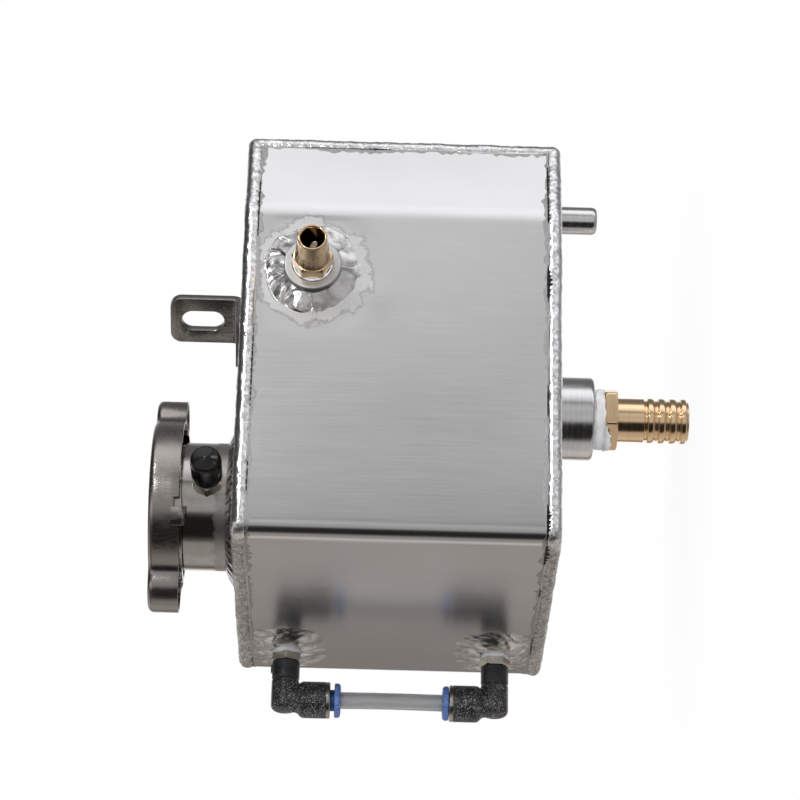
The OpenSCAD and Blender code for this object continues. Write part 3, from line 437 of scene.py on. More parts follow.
def fold_centre(i):
    a = side_angle(i - 1)
    along, inward = np.array([math.cos(a), math.sin(a)]), np.array([-math.sin(a), math.cos(a)])
    return CORNERS[i] - along * RADII[i] * math.tan(turn_at(i) / 2) + inward * RADII[i]


def plan_path(inset, step, extra=0.0):
    """Points round the plan at a distance inside its faces, with their outward normals, the distance run, and the
    side: a whole number on a side, and half less than the next one on the fold before it."""
    pts, normals, run, sides, total = [], [], [], [], 0.0
    for i in range(5):
        a0, c, r = side_angle(i - 1) - math.pi / 2, fold_centre(i), RADII[i] - inset
        k = max(3, int(math.ceil(turn_at(i) * (r + extra + 0.01) / step)))
        for t in range(k):
            a = a0 + turn_at(i) * t / k
            n = np.array([math.cos(a), math.sin(a)])
            pts.append(c + n * r)
            normals.append(n)
            run.append(total + turn_at(i) * (r + extra) * t / k)
            sides.append(i - 0.5)
        total += turn_at(i) * (r + extra)
        a = side_angle(i)
        n = np.array([math.sin(a), -math.cos(a)])
        start = c + n * r
        after = (i + 1) % 5
        end = fold_centre(after) + n * (RADII[after] - inset)
        length = np.linalg.norm(end - start)
        k = int(math.ceil(length / step))
        for t in range(k):
            pts.append(start + (end - start) * t / k)
            normals.append(n)
            run.append(total + length * t / k)
            sides.append(i)
        total += length
    return np.array(pts), np.array(normals), np.array(run), np.array(sides), total


# ---------------------------------------------------------------- materials
def metal(name, base, rough, scale, depth=0.01, streak=0.1, cloud=0.05, turned=False, spots=0.0,
          spread_rough=0.12):
    """Brushed or turned metal. scale gives the grain's cells to a millimetre along each axis."""
    m, t, s = new_material(name)
    where = place_mm(t)
    if turned:
        line = add(t, "CombineXYZ", {0: times(t, attribute(t, "along"), scale[2])}).outputs[0]
        near = add(t, "VectorMath", {0: place_mm(t, (0.05, 0.05, 0.05)), 1: line}, operation="ADD").outputs[0]
        fine = grain(t, near, 1.0, 3.0, 0.7)
    else:
        fine = grain(t, place_mm(t, scale), 1.0, 3.0, 0.65)
    wide = grain(t, where, 0.035, 3.0, 0.55, 0.4)
    blotch = grain(t, where, 0.22, 4.0, 0.6)
    shade = plus(t, linear(t, fine, 0.25, 0.75, -streak, streak),
                 linear(t, wide, 0.3, 0.7, -cloud, cloud))
    shade = plus(t, shade, linear(t, blotch, 0.35, 0.65, -0.4 * cloud, 0.4 * cloud))
    shade = plus(t, shade, 1.0)
    if spots:
        dots = spread(t, grain(t, where, 1.6, 2.0, 0.5), 0.66, 0.74, 1.0, 1.0 - spots)
        shade = times(t, shade, dots)
    colour = add(t, "VectorMath", {0: tuple(base), "Scale": shade}, operation="SCALE").outputs[0]
    level = plus(t, linear(t, fine, 0.3, 0.7, rough - spread_rough / 2, rough + spread_rough / 2),
                 linear(t, blotch, 0.3, 0.7, -0.04, 0.04))
    put(t, s, Base_Color=colour, Metallic=1.0, Roughness=level)
    bump(t, s, fine, depth)
    return m


def weld_metal(name, base, rough=0.2, dark=0.35, tarnish=(0.62, 0.60, 0.57)):
    """Bright weld metal whose valleys, told by the relief attribute, are dull and painted dark as shade."""
    m, t, s = new_material(name)
    where = place_mm(t)
    relief = attribute(t, "relief")
    fine = grain(t, where, 2.6, 4.0, 0.65)
    patch = grain(t, where, 0.16, 3.0, 0.6, 0.6)
    depth = spread(t, plus(t, relief, linear(t, fine, 0.3, 0.7, -0.10, 0.10)), 0.10, 0.62)
    bright = tint(t, spread(t, patch, 0.42, 0.66), tuple(base), tuple(tarnish))
    # painted shade: the valleys' colour is the base darkened by the factor dark
    low = tuple(dark * c for c in base)
    put(t, s, Base_Color=tint(t, depth, low, bright), Metallic=1.0,
        Roughness=plus(t, linear(t, depth, 0.0, 1.0, rough + 0.22, rough),
                       linear(t, patch, 0.3, 0.7, -0.05, 0.09)))
    bump(t, s, fine, 0.05)
    return m


def moulded(name, base, rough, fleck=0.0, depth=0.02, scale=2.0, vary=0.25, **fixed):
    """Plastic or rubber with a fine moulded texture and optional light flecks."""
    m, t, s = new_material(name)
    where = place_mm(t)
    fine = grain(t, where, scale, 4.0, 0.65)
    wide = grain(t, where, 0.15, 3.0, 0.55)
    low = tuple(c * (1 - vary) for c in base)
    high = tuple(c * (1 + vary) for c in base)
    colour = tint(t, spread(t, wide, 0.35, 0.65), low, high)
    if fleck:
        y = add(t, "SeparateXYZ", {0: where}).outputs[1]
        low_down = times(t, spread(t, y, -155.0, -158.5, 0.06, 1.0),
                        spread(t, grain(t, where, 0.30, 2.0), 0.38, 0.60, 0.35, 1.0))
        light = spread(t, grain(t, where, 2.6, 2.0, 0.75), 0.57, 0.66)
        light = times(t, times(t, light, low_down), fleck)
        colour = tint(t, light, colour, (0.60, 0.60, 0.61))
    put(t, s, Base_Color=colour, Roughness=linear(t, fine, 0.3, 0.7, rough - 0.06, rough + 0.08), **fixed)
    bump(t, s, fine, depth)
    return m


def sheet_metal():
    """Brushed sheet that the tone attribute darkens with painted shade and a smudge, with a matt ring round the
    vent's weld.
    """
    m, t, s = new_material("brushed_sheet")
    where = place_mm(t)
    # the tone attribute carries the sheet's painted shade and its smudge
    tone = attribute(t, "tone")
    apart = add(t, "VectorMath", {0: where, 1: tuple(VENT)}, operation="SUBTRACT").outputs[0]
    far = add(t, "VectorMath", {0: apart}, operation="LENGTH").outputs["Value"]
    far = plus(t, far, linear(t, grain(t, where, 0.13, 4.0, 0.6, 0.5), 0.3, 0.7, -2.6, 2.6))
    etched = spread(t, far, 19.9, 20.6, 1.0, 0.0)
    stain = times(t, spread(t, far, 19.6, 20.3), spread(t, far, 20.5, 21.6, 1.0, 0.0))
    tone = times(t, tone, calc(t, "SUBTRACT", 1.0, times(t, stain, 0.20)))
    fine = grain(t, place_mm(t, (2.6, 2.6, 0.035)), 1.0, 3.0, 0.65)
    wide = grain(t, where, 0.05, 3.0, 0.55, 0.4)
    matt = grain(t, where, 1.4, 3.0, 0.6)
    shade = plus(t, linear(t, fine, 0.25, 0.75, -0.025, 0.025),
                 linear(t, wide, 0.3, 0.7, -0.015, 0.015))
    shade = times(t, plus(t, shade, 1.0), tone)
    shade = times(t, shade, calc(t, "SUBTRACT", 1.0, times(t, etched,
            spread(t, matt, 0.35, 0.65, 0.0, 0.10))))
    colour = add(t, "VectorMath", {0: (0.74, 0.74, 0.75), "Scale": shade}, operation="SCALE").outputs[0]
    level = plus(t, linear(t, fine, 0.3, 0.7, 0.21, 0.26), times(t, etched, 0.16))
    put(t, s, Base_Color=colour, Metallic=1.0, Roughness=level)
    bump(t, s, fine, 0.0015)
    return m


def neck_metal():
    """Polished tube that is matt where the weld has heated it."""
    m, t, s = new_material("neck_aluminium")
    where = place_mm(t)
    z = add(t, "SeparateXYZ", {0: where}).outputs[2]
    blotch = grain(t, where, 0.35, 4.0, 0.6)
    heated = spread(t, plus(t, z, linear(t, blotch, 0.3, 0.7, -0.8, 0.8)), 119.0, 120.4, 1.0, 0.0)
    fine = grain(t, place_mm(t, (0.2, 0.2, 2.5)), 1.0, 3.0, 0.65)
    shade = plus(t, linear(t, fine, 0.25, 0.75, 0.96, 1.04),
                 linear(t, blotch, 0.3, 0.7, -0.08, 0.08))
    colour = add(t, "VectorMath", {0: (0.46, 0.44, 0.42), "Scale": shade}, operation="SCALE").outputs[0]
    put(t, s, Base_Color=colour, Metallic=1.0,
        Roughness=plus(t, linear(t, fine, 0.3, 0.7, 0.09, 0.13), times(t, heated, 0.30)))
    bump(t, s, blotch, 0.02)
    return m


def bead_metal():
    """Seam weld: bright on the roll, etched at its toes, painted near-black as shade in the crevices, and pitted
    where tone is high.
    """
    m, t, s = new_material("seam_weld")
    where = place_mm(t)
    relief = attribute(t, "relief")
    dull = attribute(t, "tone")
    fine = grain(t, where, 1.6, 4.0, 0.65)
    patch = grain(t, where, 0.55, 4.0, 0.65, 0.8)
    pits = spread(t, grain(t, where, 1.1, 3.0, 0.6), 0.36, 0.46)
    roll = spread(t, relief, 0.35, 0.60)
    metal_tone = tint(t, spread(t, patch, 0.45, 0.62), (0.92, 0.92, 0.94), (0.66, 0.66, 0.67))
    worn = tint(t, spread(t, patch, 0.42, 0.60), (0.74, 0.72, 0.69), (0.42, 0.40, 0.38))
    core = tint(t, dull, metal_tone, tint(t, pits, (0.20, 0.19, 0.18), worn))
    toe = tint(t, spread(t, fine, 0.35, 0.65), (0.34, 0.335, 0.33), (0.56, 0.55, 0.54))
    colour = tint(t, roll, toe, core)
    # painted shade: crevices where relief falls below zero get a near-black colour
    colour = tint(t, spread(t, relief, -0.35, 0.05), (0.03, 0.03, 0.03), colour)
    level = tint_level(t, roll, 0.42, tint_level(t, dull, 0.17, 0.38))
    put(t, s, Base_Color=colour, Metallic=1.0,
        Roughness=plus(t, level, linear(t, patch, 0.3, 0.7, -0.05, 0.08)))
    bump(t, s, times(t, fine, calc(t, "MULTIPLY_ADD", dull, 3.0, 1.0)), 0.10)
    return m


def collar_plastic():
    """Blue plastic, deep on the sleeve and paler on the flange, where the paler colour is painted light that
    stands in for the light coming through it.
    """
    m, t, s = new_material("blue_plastic")
    fine = grain(t, place_mm(t), 1.2, 3.0, 0.6)
    flange = spread(t, attribute(t, "along"), 4.9, 5.4)
    deep = tint(t, fine, (0.006, 0.035, 0.14), (0.010, 0.055, 0.20))
    # painted light: the flange's paler blue stands in for light coming through it
    pale = tint(t, spread(t, fine, 0.35, 0.65), (0.05, 0.11, 0.32), (0.12, 0.19, 0.42))
    put(t, s, Base_Color=tint(t, flange, deep, pale), Roughness=linear(t, fine, 0.3, 0.7, 0.20, 0.34))
    bump(t, s, fine, 0.01)
    return m


def tint_level(tree, fac, a, b):
    """Mixes two numbers."""
    mix = add(tree, "Mix", {0: fac, 2: a, 3: b})
    return mix.outputs[0]


M = {
    "sheet": sheet_metal(),
    "plate": metal("end_plate", (0.72, 0.72, 0.73), 0.26, (0.05, 2.0, 2.0), 0.003, 0.03, 0.03,
                   spread_rough=0.05),
    "turned": metal("turned_aluminium", (0.76, 0.76, 0.77), 0.18, (1, 1, 3.0), 0.012, 0.10, 0.06,
                    turned=True),
    "satin": metal("satin_aluminium", (0.66, 0.66, 0.66), 0.40, (1, 1, 2.0), 0.006, 0.06, 0.06, turned=True),
    "neck": neck_metal(),
    "bead": bead_metal(),
    "fillet": weld_metal("fillet_weld", (0.74, 0.735, 0.73), 0.14, 0.36, (0.46, 0.45, 0.44)),
    "brass": metal("brass", (0.95, 0.70, 0.44), 0.13, (1, 1, 2.0), 0.005, 0.05, 0.05, turned=True),
    "pale_brass": metal("plain_brass", (0.74, 0.68, 0.59), 0.20, (1, 1, 2.0), 0.008, 0.08, 0.08, turned=True),
    "bracket": metal("bracket_metal", (0.40, 0.38, 0.36), 0.26, (1.2, 1.2, 0.06), 0.010, 0.16, 0.08,
                     spots=0.15),
    "cap": metal("cap_steel", (0.37, 0.345, 0.325), 0.27, (0.05, 1.8, 0.3), 0.0008, 0.04, 0.09),
    "rivet": metal("rivet_steel", (0.62, 0.61, 0.60), 0.22, (1, 1, 1), 0.004, 0.05, 0.06),
    "inner": metal("inner_steel", (0.55, 0.55, 0.55), 0.28, (0.3, 0.3, 2.0), 0.006, 0.08, 0.06),
    "spring": metal("spring_steel", (0.40, 0.40, 0.40), 0.30, (1, 1, 1), 0.006, 0.08, 0.06),
    "guide": metal("guide_metal", (0.52, 0.48, 0.44), 0.26, (1, 1, 2.5), 0.01, 0.12, 0.10, turned=True),
    "blank": moulded("black_rubber", (0.005, 0.005, 0.0055), 0.09, depth=0.004, IOR=1.42),
    "seal": moulded("seal_rubber", (0.03, 0.03, 0.03), 0.55),
    "plastic": moulded("black_plastic", (0.014, 0.014, 0.016), 0.22, fleck=0.75, depth=0.09, scale=2.4),
    "blue": collar_plastic(),
    "tape": moulded("thread_tape", (0.92, 0.92, 0.94), 0.40, depth=0.05, scale=1.1, vary=0.06),
    "thin_tape": moulded("thin_thread_tape", (0.48, 0.48, 0.48), 0.35, depth=0.05, scale=1.1, vary=0.10),
}


def clear_tube():
    m, t, s = new_material("clear_tube")
    where = place_mm(t, (1, 1, 0.12))
    haze = grain(t, where, 1.1, 3.0, 0.6)
    put(t, s, Base_Color=tint(t, haze, (0.40, 0.40, 0.41), (0.62, 0.62, 0.63)),
        Roughness=linear(t, haze, 0.3, 0.7, 0.14, 0.26), IOR=1.42, Transmission_Weight=0.62)
    bump(t, s, haze, 0.02)
    return m


M["tube"] = clear_tube()


# ---------------------------------------------------------------- floor
def floor():
    m, t, s = new_material("floor")
    rays = add(t, "LightPath").outputs
    ground = add(t, "VectorMath", {0: add(t, "TexCoord").outputs["Object"]},
                 operation="LENGTH").outputs["Value"]
    keep = spread(t, ground, 0.03, 0.16, 0.07, 0.0)
    speck = grain(t, place_mm(t), 0.4, 2.0)
    put(t, s, Base_Color=tint(t, speck, (0.90, 0.90, 0.90), (0.93, 0.93, 0.93)), Roughness=0.8)
    glow = add(t, "Emission", {"Color": (1.0, 1.0, 1.0), "Strength": 1.0}).outputs[0]
    view = calc(t, "MAXIMUM", rays["Is Camera Ray"], rays["Is Transmission Ray"])
    share = times(t, view, calc(t, "SUBTRACT", 1.0, keep))
    mix = add(t, "MixShader", {0: share, 1: s.outputs[0], 2: glow})
    through = add(t, "BsdfTransparent").outputs[0]
    mirror = add(t, "MixShader", {0: rays["Is Glossy Ray"], 1: mix.outputs[0], 2: through})
    t.links.new(mirror.outputs[0], next(n for n in t.nodes if n.type == "OUTPUT_MATERIAL").inputs[0])
    n = 96
    a = around(n)
    rim = np.stack([4 * np.cos(a), 4 * np.sin(a), 0 * a], 1)
    mesh = bpy.data.meshes.new("floor")
    mesh.from_pydata([(0, 0, 0)] + [tuple(v) for v in rim], [],
                     [(0, 1 + k, 1 + (k + 1) % n) for k in range(n)])
    mesh.materials.append(m)
    o = bpy.data.objects.new("floor", mesh)
    bpy.context.collection.objects.link(o)
    o.location = (-0.0255, -0.07, -0.0487)


floor()


# ---------------------------------------------------------------- sheet
def step_up(x, lo, hi):
    """0 below lo, 1 above hi, and smooth between."""
    t = np.clip((x - lo) / (hi - lo), 0, 1)
    return t * t * (3 - 2 * t)


def painted_shade_and_smudge(pts, sides, z):
    """Tone of the sheet at one height: below 1 where shade is painted, toward and along the front fold of the
    broad face and toward the back of the sight face, and at one smudge on the broad face.
    """
    x, y = pts[:, 0], pts[:, 1]
    broad = (sides >= 0) & (sides <= 0.5)
    front = sides == 4
    # painted shade: the broad face darkens toward the front fold
    dark = 0.16 * step_up(-y, 112, 143) * broad
    # painted shade: a narrow dark band along the front fold
    dark = dark + 0.34 * np.exp(-((y + 141.5) / 3.2) ** 2) * (x > 36)
    # painted shade: the sight face darkens toward its back
    dark = dark + (0.07 + 0.20 * step_up(-x, 0, 84)) * front
    smudge = 0.10 * np.exp(-((y + 57) / 4.5) ** 2 - ((z - 64.5) / 6) ** 2) * broad
    return 1 - dark - smudge


def tank_sheet():
    pts, normals, run, sides, total = plan_path(0.0, 1.0)
    z_out = np.linspace(BOTTOM + SHEET, TOP - SHEET, 106)
    z_in = z_out[::-1][::15]
    n = len(pts)
    rows = []
    length = {i: np.linalg.norm(CORNERS[(i + 1) % 5] - CORNERS[i]) for i in range(5)}
    share = np.zeros(n)
    for k in range(n):
        i = sides[k]
        if i == int(i):
            i = int(i)
            share[k] = np.linalg.norm(pts[k] - CORNERS[i]) / length[i]
    bow = np.where(sides == 0, 0.40, np.where(sides == 4, 0.50, np.where(sides == 1, 0.10, 0.30)))
    tones = []
    for z in z_out:
        up = (z - BOTTOM) / (TOP - BOTTOM)
        d = bow * np.sin(np.pi * np.clip(share, 0, 1)) ** 1.5 * np.sin(np.pi * up)
        d = d + 0.05 * noise(run / 31, z / 33, seed=5) - 0.02
        on_broad = np.exp(-((np.hypot(pts[:, 1] - VENT[1], z - VENT[2]) - 20) / 5) ** 2) * (sides == 0)
        d = d - 0.10 * on_broad
        # tone per point: painted shade and a smudge
        tones.append(painted_shade_and_smudge(pts, sides, z))
        d = d * np.clip(min(z - BOTTOM - SHEET, TOP - SHEET - z) / 6, 0, 1)
        rows.append(np.column_stack([pts + normals * d[:, None], np.full(n, z)]))
    for z in z_in:
        rows.append(np.column_stack([pts - normals * SHEET, np.full(n, z)]))
        tones.append(np.full(n, 0.9))
    verts = np.vstack(rows)
    faces = grid_faces(len(rows), n, wrap_rows=True, wrap_cols=True)
    o = build("tank_sheet", verts, faces, "sheet", stands_for="wrap_sheet", angle=35,
              tone=np.concatenate(tones))
    cutters = [(VENT, X, 9.8)] + [((SIGHT_X, FRONT_Y, z), -Y, 8.8) for z in SIGHT_Z]
    for at, axis, r in cutters:
        cut_with(o, lathe_mesh(frame_at(at, Z, axis), [(0, -6), (r, -6), (r, 6), (0, 6)], 72))


def cut_with(o, shape):
    """Cuts a piece with the closed shape that lathe_mesh gives, and applies the cut."""
    mesh = raw_mesh("tool", *shape[:2])
    mend(mesh, 1e-7)
    tool = bpy.data.objects.new("tool", mesh)
    bpy.context.collection.objects.link(tool)
    mod = o.modifiers.new("cut", "BOOLEAN")
    mod.operation, mod.solver, mod.object = "DIFFERENCE", "EXACT", tool
    apply_modifiers(o)
    bpy.data.objects.remove(tool)
    bpy.data.meshes.remove(mesh)


def apply_modifiers(o):
    graph = bpy.context.evaluated_depsgraph_get()
    graph.update()
    made = bpy.data.meshes.new_from_object(o.evaluated_get(graph))
    old = o.data
    o.modifiers.clear()
    o.data = made
    bpy.data.meshes.remove(old)


tank_sheet()


# ---------------------------------------------------------------- weld beads
def ripples(run, total, pitch, seed, jitter=0.25):
    """For each distance run: the share of its ripple that is past, and a random number for the ripple."""
    rng = np.random.default_rng(seed)
    steps = pitch * (1 + jitter * rng.uniform(-1, 1, int(total / pitch * 1.6) + 8))
    edges = np.cumsum(np.concatenate([[-3 * pitch], steps]))
    lift = rng.uniform(0, 1, len(edges) + 1)
    k = np.clip(np.searchsorted(edges, run, side="right") - 1, 0, len(edges) - 2)
    return np.clip((run - edges[k]) / (edges[k + 1] - edges[k]), 0, 1), lift[k]


def ripple_height(share, lift, sharp=3.0):
    """Height from about 0 in the valley between two ripples to 1 on a crest."""
    dome = 1 - np.abs(2 * share ** 0.8 - 1) ** sharp
    return dome * (0.72 + 0.28 * lift)


def arc_bead(name, node, origin, u, v, run, total, walls, pitch, depth, seed, closed, apron, dull, teeth,
             torn=0.0):
    """A rolled bead over a corner line, with etched toes on the two walls. walls gives each wall's normal and the
    way along it from the corner, in the plane of u and v. Teeth are bitten out of the roll at the first toe, most
    where torn is high. dull is 1 where the bead is pitted and matt."""
    s = run[:, None]
    half = math.sqrt(BEAD_R ** 2 - SHEET ** 2)
    ends = [np.array(n) * SHEET + np.array(d) * half for n, d in walls]
    start, finish = (math.atan2(e[1], e[0]) for e in ends)
    saw = ripples(run + 0.8, total, pitch * 0.55, seed + 7, 0.5)[0]
    open_share = np.clip(0.25 + torn + 1.1 * noise(run / 11, seed=seed + 8), 0.0, 1)
    bite = np.minimum(teeth * open_share * (0.10 + 0.90 * saw), 0.62)
    share = np.linspace(0, 1, 25)[None, :]
    first = start + bite[:, None]
    p = first + (finish - first) * share
    off = 2 * share - 1
    turned, lift = ripples(s + 1.6 * off ** 2 + 1.1 * noise(s / 4.0, p * 1.3, seed=seed), total, pitch, seed,
                           0.5)
    ripple = ripple_height(turned, lift, 2.4)
    swell = 0.13 * noise(s / 9, p * 0.7, seed=seed + 1) + 0.09 * noise(s / 2.3, p * 1.9, seed=seed + 2)
    flat = dull[:, None]
    grit = 0.06 * noise(s / 0.9, p * 3.2, seed=seed + 3) * (1 + 2.0 * flat)
    r = 3.04 + depth * (ripple - 0.5) * (1 - 0.5 * flat) + swell + grit
    r = r - 0.06 * flat * np.abs(off) ** 3
    r = np.minimum(r, BEAD_R)
    roll = np.stack([r * np.cos(p), r * np.sin(p)], -1)
    rows, relief = [], []
    for side, (n, d) in enumerate(walls):
        n, d = np.array(n), np.array(d)
        w = apron[side] * (0.55 + 0.5 * noise(run / 6, seed=seed + 20 + side) + 0.4 * noise(run / 1.6,
                seed=seed + 30 + side))
        w = np.clip(w, 0.12, 2.4)
        open_here = bite if side == 0 else 0 * bite
        gap = 0.04 + 0.5 * open_here
        w = np.maximum(w, gap + 0.15)
        under = CORE_R * np.sin(math.atan2(half, SHEET) - open_here) - 0.15
        # crack marks the crevice under the roll, which the seam_weld material paints near-black as shade
        crack = 0.1 - 0.7 * np.clip(open_here / 0.07, 0, 1)
        layers = [(SHEET - 0.6 + 0 * w, half + w, 0.2), (SHEET + 0.02 + 0 * w, half + w, 0.25),
                  (SHEET + 0.07 + 0 * w, half + 0.55 * w + 0.45 * gap, 0.2), (SHEET + 0.08 + 0 * w,
                          half + gap, 0.1),
                  (SHEET + 0.015 + 0 * w, half + 0.6 * gap, crack), (SHEET + 0.015 + 0 * w, under, crack)]
        block = [height[:, None] * n + away[:, None] * d for height, away, _ in layers]
        marks = [mark + np.zeros(len(run)) for *_, mark in layers]
        rows.append(block if side == 0 else block[::-1])
        relief.append(marks if side == 0 else marks[::-1])
    section = np.concatenate([np.stack(rows[0], 1), roll, np.stack(rows[1], 1), np.zeros((len(run), 1, 2))],
                             1)
    mark = np.concatenate([np.stack(relief[0], 1), 0.62 + 0.38 * ripple, np.stack(relief[1], 1), 0 * s], 1)
    pts = origin[:, None, :] + section[..., 0:1] * u[:, None, :] + section[..., 1:2] * v[:, None, :]
    n, c = pts.shape[:2]
    return build(name, pts.reshape(-1, 3), rod_faces(n, c, closed), "bead", stands_for=node,
                 relief=mark.ravel(), tone=np.repeat(dull, c), angle=50)


def end_bead(name, node, z, up, pitch, depth, seed, apron, teeth):
    pts, normals, run, sides, total = plan_path(SHEET, 0.44, extra=2.5)
    n = len(pts)
    origin = np.column_stack([pts, np.full(n, z)])
    u = np.column_stack([normals, np.zeros(n)])
    v = np.tile((0, 0, up), (n, 1)).astype(float)
    front = ((sides == 4) | (sides == 3.5)).astype(float)
    dull = np.convolve(np.pad(front, 12, mode="wrap"), np.ones(25) / 25, "valid")
    walls = (((1, 0), (0, -1)), ((0, 1), (-1, 0)))
    torn = 0.5 * ((sides == 1) | (sides == 0.5)) - 0.25 * front
    arc_bead(name, node, origin, u, v, run, total, walls, pitch, depth, seed, True, apron, dull, teeth, torn)


end_bead("top_bead", "top_seam_weld", TOP - SHEET, 1, 3.6, 0.06, 11, (1.9, 1.2), teeth=0.14)
end_bead("bottom_bead", "bottom_seam_weld", BOTTOM + SHEET, -1, 3.6, 0.07, 23, (1.7, 1.0), teeth=0.74)


def seam_bead():
    c = fold_centre(2)
    z = np.arange(BOTTOM + SHEET, TOP - SHEET + 0.1, 0.42)
    middle = (side_angle(1) + side_angle(2)) / 2 - math.pi / 2
    n = len(z)
    origin = np.column_stack([np.full(n, c[0]), np.full(n, c[1]), z])
    u = np.tile((math.cos(middle), math.sin(middle), 0), (n, 1))
    v = np.tile((-math.sin(middle), math.cos(middle), 0), (n, 1))
    h = turn_at(2) / 2
    walls = tuple(((math.cos(h), k * math.sin(h)), (-math.sin(h), k * math.cos(h))) for k in (-1, 1))
    arc_bead("seam_bead", "side_seam_weld", origin, u, v, z, 120, walls, 3.4, 0.10, 31, False, (2.2, 1.0),
             0 * z,
             teeth=0.24)


seam_bead()


# ---------------------------------------------------------------- fillet welds
def fillet(name, node, corner, a, b, run, total, w, h, pitch, depth, seed, closed, taper=None, ragged=0.5,
           sink=0.5):
    """A rippled fillet along a corner line: w wide along a (the plate) and h high along b (the wall)."""
    t = np.linspace(0, 1, 15)
    key = np.array([(1.0, 0.0), (0.84, 0.26), (0.42, 0.70), (0.0, 1.0)])
    at = np.array([0, 0.3, 0.7, 1.0])
    su, sv = np.interp(t, at, key[:, 0])[None, :], np.interp(t, at, key[:, 1])[None, :]
    s = run[:, None]
    size = np.ones(len(run)) if taper is None else taper
    wander = ragged * (0.6 * noise(s / 4.5, seed=seed) + 0.4 * noise(s / 1.7, seed=seed + 1))
    ww = (w + np.minimum(wander, 0.1)) * size[:, None]
    hh = (h + 0.5 * np.minimum(ragged * noise(s / 5.5, seed=seed + 2), 0.1)) * size[:, None]
    share, lift = ripples(s + 1.4 * (2 * t[None, :] - 1) ** 2 + 0.4 * noise(s / 3, t[None, :] * 2,
            seed=seed + 3),
                          total, pitch, seed)
    relief = ripple_height(share, lift, 2.4)
    bulk = np.sin(np.pi * t)[None, :] ** 0.6
    push = depth * (relief - 0.75) * bulk * size[:, None] + 0.05 * noise(s / 1.2, t[None, :] * 5,
            seed=seed + 4)
    x = ww * su + push * 0.55
    z = hh * sv + push * 0.80
    pts = corner[:, None, :] + x[..., None] * a[:, None, :] + z[..., None] * b[:, None, :]
    foot = corner + (w * size)[:, None] * a - sink * b
    under = corner - sink * b - sink * a
    wall = corner - sink * a + (h * size)[:, None] * b
    pts = np.concatenate([pts, wall[:, None], under[:, None], foot[:, None]], 1)
    relief = np.concatenate([relief, 0 * s, 0 * s, 0 * s], 1)
    n, c = pts.shape[:2]
    return build(name, pts.reshape(-1, 3), rod_faces(n, c, closed), "fillet", stands_for=node,
                 relief=relief.ravel(), angle=0)


def ring_fillet(name, node, where, r, w, h, pitch, depth, seed, n=260, **more):
    a = around(n)
    o, ex, ey, ez = where
    out = np.cos(a)[:, None] * ex + np.sin(a)[:, None] * ey
    corner = o + r * out
    run = a * (r + w / 2)
    return fillet(name, node, corner, out, np.tile(ez, (n, 1)), run, 2 * np.pi * (r + w / 2), w, h, pitch,
                  depth,
                  seed, True, **more)


def dimes(x, y, ripples_laid):
    """Height of overlapping round ripples, each given by its centre, radius and height, laid in order."""
    h = np.zeros_like(x)
    for cx, cy, rd, dome in ripples_laid:
        d = np.hypot(x - cx, y - cy) / rd
        new = dome * (1 - d ** 2)
        blend = np.clip((1 - d) / 0.14, 0, 1)
        h = np.where(d < 1, h * (1 - blend) + new * blend, h)
    return h


def pool(name, node, where, r_in, outline, profile, rings, seed, lines=(), nt=260, nr=46, sink=0.4):
    """A weld pool round a bung: overlapping ripples on a raised annulus. rings gives each run of ripples round it
    by its radius, pitch, size, first and last angle in degrees, and height. lines gives each straight run by its
    ends, count, size and height."""
    rng = np.random.default_rng(seed)
    th = around(nt)
    rim = outline(th)
    t = np.linspace(0, 1, nr)[:, None]
    rho = r_in + (rim - r_in)[None, :] * t
    x, y = rho * np.cos(th), rho * np.sin(th)
    h = profile(t + 0 * rho)
    laid = []
    dome = max(run[-1] for run in [*rings, *lines])
    for radius, pitch, size, start, end, high in rings:
        a = math.radians(start)
        while a < math.radians(end):
            rr = radius + rng.uniform(-1.5, 1.5)
            laid.append((rr * math.cos(a), rr * math.sin(a), size * rng.uniform(0.80, 1.25),
                         high * rng.uniform(0.6, 1)))
            a += pitch / radius * rng.uniform(0.55, 1.6)
    for x0, y0, x1, y1, count, size, high in lines:
        for k in range(count):
            f = (k + rng.uniform(-0.25, 0.25)) / max(count - 1, 1)
            laid.append((x0 + (x1 - x0) * f, y0 + (y1 - y0) * f, size * rng.uniform(0.9, 1.1),
                         high * rng.uniform(0.7, 1)))
    bent = x + 0.7 * noise(x / 3, y / 3, seed=seed + 5), y + 0.7 * noise(x / 3, y / 3, seed=seed + 6)
    ripple = dimes(*bent, laid)
    edge = np.clip((1 - t) / 0.12, 0, 1)
    z = h + (ripple - 0.45 * dome) * np.clip(edge + 0.15, 0, 1) + 0.10 * noise(x / 1.9, y / 1.9, seed=seed)
    z = z * np.clip((1 - t) / 0.05, 0, 1) + 0.03
    relief = np.clip(ripple / dome, 0, 1) * 0.68 + 0.27
    top = np.stack([x, y, z], -1)
    low = np.stack([np.stack([x[-1], y[-1], 0 * x[-1] - sink], -1), np.stack([x[0], y[0], 0 * x[0] - sink],
            -1)])
    grid = np.concatenate([top, low])
    relief = np.concatenate([relief, np.zeros((2, nt))])
    faces = grid_faces(nr + 2, nt, wrap_rows=True, wrap_cols=True)
    return build(name, into(where, grid).reshape(-1, 3), faces, "fillet", stands_for=node,
                 relief=relief.ravel(), angle=0)


neck_foot = frame_at(NECK + (0, 0, TOP), X, Z)
ring_fillet("neck_fillet", "neck_weld", neck_foot, 22.75, 7.0, 4.5, 3.6, 0.55, 41, n=420)
outlet_foot = frame_at(OUTLET + (0, 0, BOTTOM), X, -Z)
ring_fillet("outlet_fillet", "outlet_weld", outlet_foot, 15.0, 4.5, 3.6, 3.0, 0.5, 42, n=320)
ring_fillet("pin_fillet", "pin_weld", frame_at((0, 0, BOTTOM), X, -Z), 5.0, 2.8, 1.5, 2.2, 0.3, 43, n=160,
            ragged=0.3)

